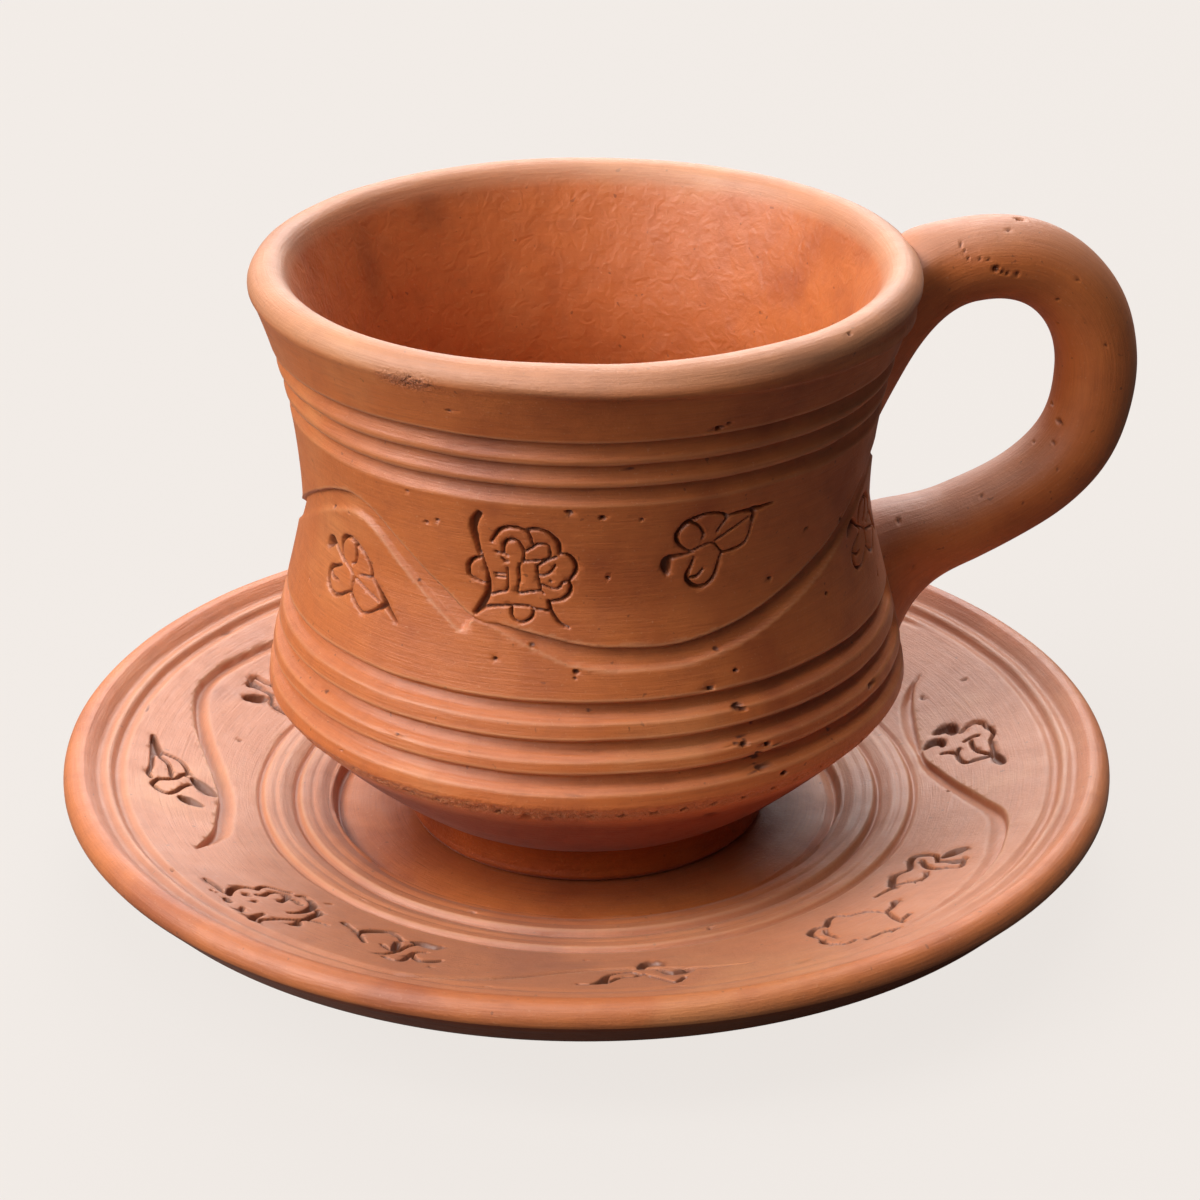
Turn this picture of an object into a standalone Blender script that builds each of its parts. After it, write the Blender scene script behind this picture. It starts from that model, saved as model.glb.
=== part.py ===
"""Terracotta cup and saucer: a turned cup with a pulled handle, standing in the well of its saucer.

Lengths are in metres and +Z is up. The origin is the middle of the saucer's flat base, and the handle
points along +X. The cup's own heights are counted from the underside of its foot.
"""

import math

import bmesh
import bpy
from mathutils import Vector
from mathutils.geometry import interpolate_bezier

MM = 0.001

# Fits
GAP = 0.3 * MM  # left between two pieces that touch

# Saucer
SAUCER_RADIUS = 72.5 * MM
SAUCER_HEIGHT = 16.7 * MM
SAUCER_FLOOR = 6.0 * MM  # clay under the well
SAUCER_BASE_RADIUS = 41.0 * MM
SAUCER_BASE_EDGE = 1.8 * MM  # upright edge round the flat base
RIM_WIDTH = 5.2 * MM
RIM_STAND = 1.3 * MM  # the rim's top over the outer end of the band
RIM_ROUND = 2.2 * MM  # radius of the outer edge
RIM_SIDE = 0.7 * MM  # upright face under the rounded edge
RIM_UNDERCUT_RUN = 4.0 * MM  # slope from the upright face in to the underside
RIM_UNDERCUT_DROP = 4.2 * MM
WELL_CLEARANCE = 10.0 * MM  # round the cup's foot
WELL_STEP = 1.6 * MM
WELL_STEP_RUN = 0.8 * MM
WELL_EDGE_DIP = 0.5 * MM  # the well's floor sinks towards its edge
WELL_EDGE_RUN = 1.4 * MM
INNER_RINGS_WIDTH = 11.6 * MM
INNER_RINGS_RISE = 1.0 * MM
INNER_RING_GROOVES = (5.8 * MM, 10.8 * MM)  # out from the well's edge
INNER_RING_SHOULDER = 2.4 * MM  # from a groove out to the crown of the ring
INNER_RING_CROWN = 0.3 * MM
OUTER_RING_GROOVE = 2.3 * MM  # in from the foot of the rim
SAUCER_GROOVE_DEPTH = 0.6 * MM
SAUCER_GROOVE_HALF_WIDTH = 0.8 * MM

# Cup
CUP_HEIGHT = 80.3 * MM
LIP_RADIUS = 44.1 * MM
LIP_ROUND = 2.7 * MM
WAIST_RADIUS = 38.2 * MM
WAIST_HEIGHT = 47.2 * MM
BELLY_RADIUS = 43.8 * MM
BELLY_HEIGHT = 21.5 * MM
SHOULDER_DROP = 2.2 * MM  # from the belly down to the edge of the underside
SHOULDER_INSET = 1.4 * MM
WALL = 5.6 * MM
CUP_FLOOR = 6.0 * MM
BOWL_WIDTH = 18.0 * MM  # of the round corner between the inside wall and the floor
BOWL_DEPTH = 16.0 * MM

# Turned rings of the cup: each is a sharp step in, then a hollow that slopes back out
UPPER_RING_DROPS = (10.1 * MM, 13.4 * MM, 16.7 * MM)  # down from the lip to each step
UPPER_RING_DEPTH = 1.25 * MM
UPPER_RING_WIDTH = 2.65 * MM
LOWER_RING_RISES = (13.6 * MM, 8.85 * MM, 4.55 * MM)  # up from the belly to each step
LOWER_RING_DEPTH = 1.5 * MM
LOWER_RING_WIDTH = 2.8 * MM
RING_STEP = 0.5 * MM
RING_HOLLOW = (0.55, 0.64)  # a point of the hollow: share of its run, share of its depth
RING_MARGIN = 0.5 * MM  # no other point of the wall's outline lies this near a ring

# Wavy groove round the cup, one of its three waves: degrees past the crest, height over the foot
WAVE_KNOTS = (
    (0, 55.7 * MM), (11, 52.5 * MM), (20, 47.6 * MM), (27, 44.1 * MM), (36, 43.5 * MM), (44, 41.6 * MM),
    (55, 40.3 * MM), (70, 41.0 * MM), (83.5, 43.9 * MM), (97.5, 48.4 * MM), (110, 53.1 * MM), (120, 55.7 * MM),
)
WAVE_CREST = -148  # azimuth of a crest in degrees
WAVE_DEPTH = 0.95 * MM
WAVE_WIDTH = 2.4 * MM

# Vines cut into the saucer, tapering at both ends: degrees back from the start, radius of the sharp outer edge
LONG_VINE = (
    (0, 57.0 * MM), (3.3, 52.9 * MM), (9.4, 50.7 * MM), (14.4, 49.3 * MM), (21.3, 48.3 * MM), (27.8, 49.8 * MM),
    (34.8, 52.6 * MM), (40.5, 55.9 * MM), (44.5, 58.8 * MM), (49.2, 60.5 * MM), (53.6, 61.6 * MM),
)
BROAD_VINE = (
    (0, 58.3 * MM), (5.2, 54.6 * MM), (12.5, 52.3 * MM), (17.7, 51.6 * MM), (24, 52.4 * MM), (30.2, 54.2 * MM),
    (35.8, 56.5 * MM), (41.3, 58.7 * MM), (46, 60.3 * MM), (50.3, 60.8 * MM), (55.1, 60.4 * MM), (62, 59.7 * MM),
    (76, 58.0 * MM),
)
LONG_VINE_WIDTH = 1.7 * MM
BROAD_VINE_WIDTH = 2.4 * MM
VINES = {
    "right_vine": (LONG_VINE, 19, LONG_VINE_WIDTH),
    "left_vine": (BROAD_VINE, 197, BROAD_VINE_WIDTH),
    "back_vine": (LONG_VINE, 105, LONG_VINE_WIDTH),
}
VINE_DEPTH = 1.05 * MM
VINE_TAPER = 5  # degrees over which an end runs out
VINE_STEP = 2.5
GROOVE_OVERLAP = 0.4 * MM  # the cutter of a carved groove stands this far out of the clay

# Foot ring of the cup
FOOT_RADIUS = 25.0 * MM
FOOT_HEIGHT = 4.5 * MM
FOOT_WALL = 6.5 * MM
FOOT_CHAMFER = 0.8 * MM

# Handle
HANDLE_RADIUS = 5.7 * MM
HANDLE_ROOT_SWELL = 0.8 * MM  # added to the radius at both roots
HANDLE_FLARE = 24.0 * MM  # length over which a root swells
HANDLE_BURY = 10.0 * MM  # run inside the wall before the end is cut to fit it
UPPER_ROOT_DROP = 9.0 * MM  # down from the lip
UPPER_ROOT_ANGLE = math.radians(35)  # above level
CROWN_DROP = 3.9 * MM  # down from the lip to the top of the centreline
CROWN_REACH = 16.6 * MM  # out from the waist
HANDLE_REACH = 32.5 * MM
REACH_DROP = 20.6 * MM
LOWER_ROOT_HEIGHT = 33.5 * MM
LOWER_ROOT_ANGLE = math.radians(22)
UPPER_PULLS = (0.4, 0.45)  # how far each curve leans on its end directions, as shares of its span
CROWN_PULLS = (0.62, 0.5)
LOWER_PULLS = (0.59, 0.72)

# Clay pressed under the two ends of the handle
FILLET_INSET = 1.2 * MM  # narrower than the handle on each side
FILLET_ROUND = 1.6 * MM
FILLET_TIP = 1.8 * MM  # thickness where it runs out on the wall
UPPER_FILLET_DROP = 18.0 * MM  # from the root down to the tip
LOWER_FILLET_DROP = 12.0 * MM
UPPER_FILLET_RUN = 13.0 * MM  # out along the handle
LOWER_FILLET_RUN = 13.0 * MM
FILLET_HOLLOW = 1.6 * MM  # how far the free side curves in

# Smoothness
TURNED_SIDES = 60
HANDLE_SIDES = 16
BEZIER_POINTS = 9
ROUND_POINTS = 8
SIDE_POINTS = 22
RIM_POINTS = 6
BEVEL_STEPS = 2
SHARP_ANGLE = math.radians(50)
MERGE_DISTANCE = 0.01 * MM

# Fired clay: linear colour and roughness
CLAY_COLOUR = (0.44, 0.165, 0.083, 1.0)
CLAY_ROUGHNESS = 0.85

# Places that follow from the sizes above
WELL_RADIUS = FOOT_RADIUS + WELL_CLEARANCE
CUP_SEAT = SAUCER_FLOOR + GAP
LIP_HEIGHT = CUP_HEIGHT - LIP_ROUND  # middle of the rounded lip
BODY_BASE = FOOT_HEIGHT + GAP
INSIDE_FLOOR = BODY_BASE + CUP_FLOOR


def clear_scene():
    for thing in list(bpy.data.objects):
        bpy.data.objects.remove(thing, do_unlink=True)


def clay(name):
    material = bpy.data.materials.new(name)
    material.use_nodes = True
    shader = material.node_tree.nodes["Principled BSDF"]
    shader.inputs["Base Color"].default_value = CLAY_COLOUR
    shader.inputs["Roughness"].default_value = CLAY_ROUGHNESS
    shader.inputs["Metallic"].default_value = 0.0
    return material


def add_object(name, mesh, parent=None):
    thing = bpy.data.objects.new(name, mesh)
    bpy.context.scene.collection.objects.link(thing)
    thing.parent = parent
    mesh.materials.append(clay(name + "_clay"))
    return thing


def mark_as_cutter(thing):
    thing.hide_render = True
    thing.display_type = "WIRE"


def cut_away(thing, cutter):
    modifier = thing.modifiers.new("fit_to_" + cutter.name, "BOOLEAN")
    modifier.operation = "DIFFERENCE"
    modifier.object = cutter


def spaced(start, end, count):
    """Evenly spaced values from start to end, both included."""
    return [start + (end - start) * i / (count - 1) for i in range(count)]


def ellipse_arc(middle, across, up, start, end, count):
    """Points (radius, height) on an arc, with angles in degrees from outward."""
    return [
        (middle[0] + across * math.cos(math.radians(a)), middle[1] + up * math.sin(math.radians(a)))
        for a in spaced(start, end, count)
    ]


def turned(name, outline, parent=None):
    """A solid turned about the Z axis from an outline of (radius, height) points."""
    mesh = bpy.data.meshes.new(name)
    edges = [(i, i + 1) for i in range(len(outline) - 1)]
    if outline[0][0] > 0:
        edges.append((len(outline) - 1, 0))
    mesh.from_pydata([(r, 0.0, z) for r, z in outline], edges, [])
    thing = add_object(name, mesh, parent)
    screw = thing.modifiers.new("turning", "SCREW")
    screw.axis = "Z"
    screw.steps = TURNED_SIDES
    screw.render_steps = TURNED_SIDES
    screw.use_merge_vertices = True
    screw.merge_threshold = MERGE_DISTANCE
    screw.use_smooth_shade = True
    return thing


def band_height(radius):
    """Height of the saucer's upper face between the well and the rim, without its rings."""
    inner = WELL_RADIUS + WELL_STEP_RUN
    middle = WELL_RADIUS + INNER_RINGS_WIDTH
    outer = SAUCER_RADIUS - RIM_WIDTH
    low = SAUCER_FLOOR + WELL_STEP
    high = SAUCER_HEIGHT - RIM_STAND
    if radius < middle:
        return low + INNER_RINGS_RISE * (radius - inner) / (middle - inner)
    start = low + INNER_RINGS_RISE
    return start + (high - start) * (radius - middle) / (outer - middle)


def saucer_rings():
    """The rings of the saucer's upper face as (radius, rise over the band) points."""
    rim_foot = SAUCER_RADIUS - RIM_WIDTH
    edge = WELL_RADIUS + WELL_STEP_RUN
    points = [(edge, -INNER_RING_CROWN)]
    for out in INNER_RING_GROOVES:
        groove = WELL_RADIUS + out
        points += [(edge + INNER_RING_SHOULDER - WELL_STEP_RUN, INNER_RING_CROWN)]
        points += [(groove - SAUCER_GROOVE_HALF_WIDTH, INNER_RING_CROWN), (groove, -SAUCER_GROOVE_DEPTH)]
        edge = groove + SAUCER_GROOVE_HALF_WIDTH
        points += [(edge, -INNER_RING_CROWN)]
    points[-1] = (WELL_RADIUS + INNER_RINGS_WIDTH, 0.0)
    outer = rim_foot - OUTER_RING_GROOVE
    points += [(outer - SAUCER_GROOVE_HALF_WIDTH, 0.0), (outer, -SAUCER_GROOVE_DEPTH)]
    points += [(outer + SAUCER_GROOVE_HALF_WIDTH, 0.0), (rim_foot - SAUCER_GROOVE_HALF_WIDTH / 2, 0.0)]
    return points + [(rim_foot, -SAUCER_GROOVE_DEPTH), (rim_foot + SAUCER_GROOVE_HALF_WIDTH, 0.0)]


def saucer_outline():
    side_foot = SAUCER_HEIGHT - RIM_ROUND - RIM_SIDE
    rim_middle = (SAUCER_RADIUS - RIM_ROUND, SAUCER_HEIGHT - RIM_ROUND)
    return [
        (0.0, SAUCER_FLOOR),
        (WELL_RADIUS - WELL_EDGE_RUN, SAUCER_FLOOR),
        (WELL_RADIUS, SAUCER_FLOOR - WELL_EDGE_DIP),
        *[(radius, band_height(radius) + rise) for radius, rise in saucer_rings()],
        *ellipse_arc(rim_middle, RIM_ROUND, RIM_ROUND, 90, 0, RIM_POINTS),
        (SAUCER_RADIUS, side_foot),
        (SAUCER_RADIUS - RIM_UNDERCUT_RUN, side_foot - RIM_UNDERCUT_DROP),
        (SAUCER_BASE_RADIUS, SAUCER_BASE_EDGE),
        (SAUCER_BASE_RADIUS, 0.0),
        (0.0, 0.0),
    ]


def wall_radius(height):
    """Outside radius of the cup's wall, without its rings."""
    if height >= WAIST_HEIGHT:
        share = (height - WAIST_HEIGHT) / (LIP_HEIGHT - WAIST_HEIGHT)
        return WAIST_RADIUS + (LIP_RADIUS - WAIST_RADIUS) * share**2
    share = (WAIST_HEIGHT - height) / (WAIST_HEIGHT - BELLY_HEIGHT)
    eased = share * share * (3 - 2 * share)
    return WAIST_RADIUS + (BELLY_RADIUS - WAIST_RADIUS) * (share + eased) / 2


def cup_rings():
    """Height of the step, depth and width of each ring of the cup."""
    upper = [(CUP_HEIGHT - drop, UPPER_RING_DEPTH, UPPER_RING_WIDTH) for drop in UPPER_RING_DROPS]
    lower = [(BELLY_HEIGHT + rise, LOWER_RING_DEPTH, LOWER_RING_WIDTH) for rise in LOWER_RING_RISES]
    return upper + lower


def ring_points(step, depth, width):
    """A turned ring as (height, depth) points down the wall."""
    run, share = RING_HOLLOW
    deepest = step - RING_STEP
    hollow = deepest - (width - RING_STEP) * run
    return [(step, 0.0), (deepest, depth), (hollow, depth * share), (step - width, 0.0)]


def outer_wall(clearance, ringed):
    """The wall's outside from the lip down to the edge of the underside."""
    rings = cup_rings() if ringed else []
    points = []
    for height in spaced(LIP_HEIGHT, BELLY_HEIGHT, SIDE_POINTS):
        if all(not step - width - RING_MARGIN < height < step + RING_MARGIN for step, _, width in rings):
            points.append((height, 0.0))
    for step, depth, width in rings:
        points += ring_points(step, depth, width)
    points.sort(reverse=True)
    wall = [(wall_radius(height) - depth + clearance, height) for height, depth in points]
    return wall + [(BELLY_RADIUS - SHOULDER_INSET + clearance, BELLY_HEIGHT - SHOULDER_DROP)]


def inner_wall():
    """The inside from the middle of the floor up to the lip."""
    bowl_top = INSIDE_FLOOR + BOWL_DEPTH
    bowl_edge = wall_radius(bowl_top) - WALL
    bowl = ellipse_arc((bowl_edge - BOWL_WIDTH, bowl_top), BOWL_WIDTH, BOWL_DEPTH, -90, 0, ROUND_POINTS)
    rise = spaced(bowl_top, LIP_HEIGHT, ROUND_POINTS)[1:-1]
    return [(0.0, INSIDE_FLOOR), *bowl, *[(wall_radius(height) - WALL, height) for height in rise]]


def lip(clearance):
    middle = (LIP_RADIUS - LIP_ROUND, LIP_HEIGHT)
    return ellipse_arc(middle, LIP_ROUND + clearance, LIP_ROUND + clearance, 180, 0, ROUND_POINTS)[:-1]


def curve_at(where, knots):
    """Height and slope of a smooth curve through knots, whose ends run level."""
    slopes = [(after[1] - before[1]) / (after[0] - before[0]) for before, after in zip(knots, knots[2:])]
    slopes = [0.0, *slopes, 0.0]
    for i in range(len(knots) - 1):
        (start, low), (end, high) = knots[i], knots[i + 1]
        if where <= end:
            break
    run = end - start
    t = (where - start) / run
    first, last = slopes[i] * run, slopes[i + 1] * run
    height = low + t * first + t * t * (3 * (high - low) - 2 * first - last)
    height += t**3 * (2 * (low - high) + first + last)
    return height, slopes[i] * (1 - t) + slopes[i + 1] * t


def groove_cutter(name, sections, closed, parent=None):
    """A three-sided bar through sections of (azimuth, radius, height) corners, for cutting a groove."""
    shape = bmesh.new()
    rings = []
    for section in sections:
        rings.append([
            shape.verts.new((radius * math.cos(turn), radius * math.sin(turn), height))
            for turn, radius, height in section
        ])
    following = rings[1:] + rings[:1] if closed else rings[1:]
    for first, second in zip(rings, following):
        for k in range(3):
            after = (k + 1) % 3
            shape.faces.new((first[k], first[after], second[after], second[k]))
    if not closed:
        shape.faces.new(rings[0])
        shape.faces.new(rings[-1])
    bmesh.ops.recalc_face_normals(shape, faces=shape.faces)
    mesh = bpy.data.meshes.new(name)
    shape.to_mesh(mesh)
    shape.free()
    cutter = add_object(name, mesh, parent)
    mark_as_cutter(cutter)
    return cutter


def make_wave_cutter(cup):
    """The wavy groove round the cup: a sharp upper edge, then a hollow that slopes back out."""
    period = WAVE_KNOTS[-1][0]
    sections = []
    for side in range(TURNED_SIDES):
        angle = 360 * side / TURNED_SIDES
        middle, slope = curve_at((angle - WAVE_CREST) % period, WAVE_KNOTS)
        width = WAVE_WIDTH * math.hypot(1, math.degrees(slope) / WAIST_RADIUS)
        turn = math.radians(angle)
        top = middle + width / 2
        deep = top - width / 4
        bottom = middle - width / 2
        sections.append([
            (turn, wall_radius(top) + GROOVE_OVERLAP, top),
            (turn, wall_radius(deep) - WAVE_DEPTH, deep),
            (turn, wall_radius(bottom) + GROOVE_OVERLAP, bottom),
        ])
    return groove_cutter("wave_cutter", sections, True, cup)


def make_vine_cutter(name, knots, start, wide):
    """A vine in the saucer: a sharp outer edge, then a hollow that slopes back up towards the well."""
    length = knots[-1][0]
    sections = []
    for past in spaced(0, length, round(length / VINE_STEP) + 1):
        outer, slope = curve_at(past, knots)
        taper = min(1.0, (past + VINE_TAPER / 4) / VINE_TAPER, (length - past + VINE_TAPER / 4) / VINE_TAPER)
        width = wide * taper * math.hypot(1, math.degrees(slope) / outer)
        turn = math.radians(start - past)
        deep = outer - width / 4
        inner = outer - width
        sections.append([
            (turn, outer, band_height(outer) + GROOVE_OVERLAP),
            (turn, deep, band_height(deep) - VINE_DEPTH * taper),
            (turn, inner, band_height(inner) + GROOVE_OVERLAP),
        ])
    return groove_cutter(name + "_cutter", sections, False)


def make_saucer():
    saucer = turned("saucer", saucer_outline())
    for name, (knots, start, wide) in VINES.items():
        cut_away(saucer, make_vine_cutter(name, knots, start, wide))
    return saucer


def make_cup_body(cup):
    outline = inner_wall() + lip(0.0) + outer_wall(0.0, ringed=True)
    outline += [(FOOT_RADIUS, BODY_BASE), (0.0, BODY_BASE)]
    body = turned("cup_body", outline, cup)
    cut_away(body, make_wave_cutter(cup))
    return body


def make_cup_foot(cup):
    inside = FOOT_RADIUS - FOOT_WALL
    outline = [
        (inside, FOOT_HEIGHT),
        (FOOT_RADIUS, FOOT_HEIGHT),
        (FOOT_RADIUS, FOOT_CHAMFER),
        (FOOT_RADIUS - FOOT_CHAMFER, 0.0),
        (inside, 0.0),
    ]
    return turned("cup_foot", outline, cup)


def make_cup_envelope(cup):
    """The cup's outside as a full solid, one gap larger, to cut what fits against the wall."""
    solid_lip = [point for point in lip(GAP) if point[0] > LIP_RADIUS - LIP_ROUND]
    outline = [(0.0, CUP_HEIGHT + GAP), *solid_lip, *outer_wall(GAP, ringed=False), (0.0, BODY_BASE)]
    envelope = turned("cup_envelope", outline, cup)
    mark_as_cutter(envelope)
    return envelope


def handle_roots():
    upper_height = CUP_HEIGHT - UPPER_ROOT_DROP
    upper = Vector((wall_radius(upper_height), 0.0, upper_height))
    lower = Vector((wall_radius(LOWER_ROOT_HEIGHT), 0.0, LOWER_ROOT_HEIGHT))
    return upper, lower


def handle_path():
    """The handle's centreline from inside the wall at the top to inside the wall at the bottom."""
    upper, lower = handle_roots()
    leave = Vector((math.cos(UPPER_ROOT_ANGLE), 0.0, math.sin(UPPER_ROOT_ANGLE)))
    arrive = Vector((-math.cos(LOWER_ROOT_ANGLE), 0.0, -math.sin(LOWER_ROOT_ANGLE)))
    crown = Vector((WAIST_RADIUS + CROWN_REACH, 0.0, CUP_HEIGHT - CROWN_DROP))
    outermost = Vector((WAIST_RADIUS + HANDLE_REACH, 0.0, CUP_HEIGHT - REACH_DROP))
    level = Vector((1.0, 0.0, 0.0))
    down = Vector((0.0, 0.0, -1.0))
    spans = (
        (upper, leave, level, crown, (crown - upper).length, crown.x - upper.x, UPPER_PULLS),
        (crown, level, down, outermost, outermost.x - crown.x, crown.z - outermost.z, CROWN_PULLS),
        (outermost, down, arrive, lower, outermost.z - lower.z, outermost.x - lower.x, LOWER_PULLS),
    )
    path = [upper - leave * HANDLE_BURY]
    for start, out, into, end, out_span, into_span, pulls in spans:
        first = start + out * out_span * pulls[0]
        second = end - into * into_span * pulls[1]
        path += interpolate_bezier(start, first, second, end, BEZIER_POINTS)[:-1]
    return path + [lower, lower + arrive * HANDLE_BURY]


def path_lengths(path):
    lengths = [0.0]
    for before, after in zip(path, path[1:]):
        lengths.append(lengths[-1] + (after - before).length)
    return lengths


def handle_radii(path):
    """The tube's radius along its path: even, and swelling towards both roots."""
    lengths = path_lengths(path)
    radii = []
    for length in lengths:
        from_root = min(length, lengths[-1] - length) - HANDLE_BURY
        share = min(max(1 - from_root / HANDLE_FLARE, 0.0), 1.0)
        radii.append(HANDLE_RADIUS + HANDLE_ROOT_SWELL * share**2)
    return radii


def swept_tube(name, path, radii, parent):
    """A round tube along a path that lies in the XZ plane, closed at both ends."""
    shape = bmesh.new()
    rings = []
    for i, (middle, radius) in enumerate(zip(path, radii)):
        along = (path[min(i + 1, len(path) - 1)] - path[max(i - 1, 0)]).normalized()
        side = Vector((0.0, 1.0, 0.0))
        across = side.cross(along)
        ring = []
        for k in range(HANDLE_SIDES):
            angle = 2 * math.pi * k / HANDLE_SIDES
            spoke = math.cos(angle) * across + math.sin(angle) * side
            ring.append(shape.verts.new(middle + radius * spoke))
        rings.append(ring)
    for first, second in zip(rings, rings[1:]):
        for k in range(HANDLE_SIDES):
            after = (k + 1) % HANDLE_SIDES
            shape.faces.new((first[k], first[after], second[after], second[k]))
    shape.faces.new(rings[0])
    shape.faces.new(rings[-1])
    bmesh.ops.recalc_face_normals(shape, faces=shape.faces)
    mesh = bpy.data.meshes.new(name)
    shape.to_mesh(mesh)
    shape.free()
    mesh.shade_smooth()
    mesh.set_sharp_from_angle(angle=SHARP_ANGLE)
    return add_object(name, mesh, parent)


def make_handle(cup, envelope):
    path = handle_path()
    handle = swept_tube("cup_handle", path, handle_radii(path), cup)
    cut_away(handle, envelope)
    return handle


def make_handle_envelope(cup):
    """The handle one gap larger, to cut the clay that is pressed against it."""
    path = handle_path()
    envelope = swept_tube("handle_envelope", path, [radius + GAP for radius in handle_radii(path)], cup)
    mark_as_cutter(envelope)
    return envelope


def point_along(path, distance):
    """The point of a path this far from its start."""
    lengths = path_lengths(path)
    for i in range(1, len(path)):
        if lengths[i] >= distance:
            share = (distance - lengths[i - 1]) / (lengths[i] - lengths[i - 1])
            return path[i - 1].lerp(path[i], share)
    return path[-1]


def make_fillet(name, cup, root, path, drop, run, cutters):
    """A wedge of clay in the corner under one end of the handle, cut to the wall and to the handle.

    The path starts inside the wall at this end of the handle.
    """
    tip_height = root.z - drop
    inside = min(root.x, wall_radius(tip_height)) - WALL / 2
    under_root = Vector((inside, 0.0, root.z))
    under_tip = Vector((inside, 0.0, tip_height))
    tip = Vector((wall_radius(tip_height) + FILLET_TIP, 0.0, tip_height))
    corner = point_along(path, HANDLE_BURY + run)
    middle = (tip + corner) / 2
    hollow = middle + (under_root - middle).normalized() * FILLET_HOLLOW
    outline = [tip, hollow, corner, under_root, under_tip]
    half_width = Vector((0.0, HANDLE_RADIUS - FILLET_INSET, 0.0))
    shape = bmesh.new()
    near = [shape.verts.new(point - half_width) for point in outline]
    far = [shape.verts.new(point + half_width) for point in outline]
    shape.faces.new(near)
    shape.faces.new(far)
    for i in range(len(outline)):
        after = (i + 1) % len(outline)
        shape.faces.new((near[i], near[after], far[after], far[i]))
    bmesh.ops.recalc_face_normals(shape, faces=shape.faces)
    free_edges = [shape.edges.get((side[i], side[i + 1])) for side in (near, far) for i in range(2)]
    bmesh.ops.bevel(
        shape, geom=free_edges, offset=FILLET_ROUND, segments=BEVEL_STEPS, profile=0.5, affect="EDGES"
    )
    mesh = bpy.data.meshes.new(name)
    shape.to_mesh(mesh)
    shape.free()
    mesh.shade_smooth()
    mesh.set_sharp_from_angle(angle=SHARP_ANGLE)
    fillet = add_object(name, mesh, cup)
    for cutter in cutters:
        cut_away(fillet, cutter)
    return fillet


def main():
    clear_scene()
    make_saucer()
    cup = bpy.data.objects.new("cup_seat", None)
    bpy.context.scene.collection.objects.link(cup)
    cup.location = (0.0, 0.0, CUP_SEAT)
    make_cup_body(cup)
    make_cup_foot(cup)
    cup_envelope = make_cup_envelope(cup)
    make_handle(cup, cup_envelope)
    cutters = (cup_envelope, make_handle_envelope(cup))
    upper, lower = handle_roots()
    path = handle_path()
    make_fillet("handle_upper_fillet", cup, upper, path, UPPER_FILLET_DROP, UPPER_FILLET_RUN, cutters)
    make_fillet("handle_lower_fillet", cup, lower, path[::-1], LOWER_FILLET_DROP, LOWER_FILLET_RUN, cutters)


main()
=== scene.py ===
"""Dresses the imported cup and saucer: hand-turned, unglazed clay with a carved vine, on a pale floor."""

import math

import bpy
import numpy as np
from mathutils import Matrix, Vector, noise
from mathutils.geometry import interpolate_bezier


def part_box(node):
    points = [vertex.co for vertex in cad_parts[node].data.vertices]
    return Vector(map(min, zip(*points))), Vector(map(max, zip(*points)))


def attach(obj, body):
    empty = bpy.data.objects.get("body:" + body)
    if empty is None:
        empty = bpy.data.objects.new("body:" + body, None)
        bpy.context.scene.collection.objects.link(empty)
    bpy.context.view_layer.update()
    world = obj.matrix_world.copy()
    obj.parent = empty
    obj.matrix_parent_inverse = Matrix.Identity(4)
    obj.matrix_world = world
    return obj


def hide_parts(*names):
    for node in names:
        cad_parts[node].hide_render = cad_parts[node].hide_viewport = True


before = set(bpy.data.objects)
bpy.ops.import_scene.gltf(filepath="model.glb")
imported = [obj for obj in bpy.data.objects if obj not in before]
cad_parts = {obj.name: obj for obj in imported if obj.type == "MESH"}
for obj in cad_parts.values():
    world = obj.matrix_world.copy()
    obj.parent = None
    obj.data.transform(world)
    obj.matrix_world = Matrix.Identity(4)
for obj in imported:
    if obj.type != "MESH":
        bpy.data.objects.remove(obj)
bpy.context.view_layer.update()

MM = 0.001


def cad_box(node):
    """Lowest and highest corner of a CAD piece, in millimetres."""
    low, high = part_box(node)
    return Vector(low) / MM, Vector(high) / MM


# Sizes taken from the frame, in millimetres
BODY_LOW, BODY_HIGH = cad_box("cup_body")
FOOT_LOW, FOOT_HIGH = cad_box("cup_foot")
SAUCER_HIGH = cad_box("saucer")[1]

# Cup: radii, and heights above the table
LIP_RADIUS = BODY_HIGH.y
LIP_ROUND = 2.7
LIP_HEIGHT = BODY_HIGH.z - LIP_ROUND
LIP_LEAN = math.radians(21)
LIP_CARVED_BELOW = 1.2
WAIST_RADIUS = 38.2
WAIST_HEIGHT = FOOT_LOW.z + 47.2
FLARE_END = 1.05
BELLY_RADIUS = 43.8
BELLY_HEIGHT = FOOT_LOW.z + 21.5
EDGE_RADIUS = BELLY_RADIUS - 1.4
EDGE_HEIGHT = BELLY_HEIGHT - 2.2
EDGE_CURVE = 1.3
WALL = 5.6
FLOOR_HEIGHT = BODY_LOW.z + 6.0
BOWL_WIDTH = 18.0
BOWL_DEPTH = 16.0
FOOT_RADIUS = FOOT_HIGH.y
CONE_PULL = (FOOT_RADIUS + 5.2, BODY_LOW.z + 1.9)
FOOT_WALL = 6.5
FOOT_ROUND = 0.9
FOOT_WAIST = 0.3
FOOT_JOINT = 0.05

# Turned rings of the cup: height of each sharp upper edge
UPPER_RINGS = (76.5, 73.2, 69.9)
UPPER_RING_DEPTH = 1.25
UPPER_RING_WIDTH = 2.65
LOWER_RINGS = (41.4, 36.65, 32.35)
LOWER_RING_DEPTH = 1.5
LOWER_RING_WIDTH = 2.8
RING_STEP = 0.5
RING_CURVE = 1.7
SCORE_DROP = 1.7
SCORE_DEPTH = 0.12
SCORE_HALF_WIDTH = 0.3

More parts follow.
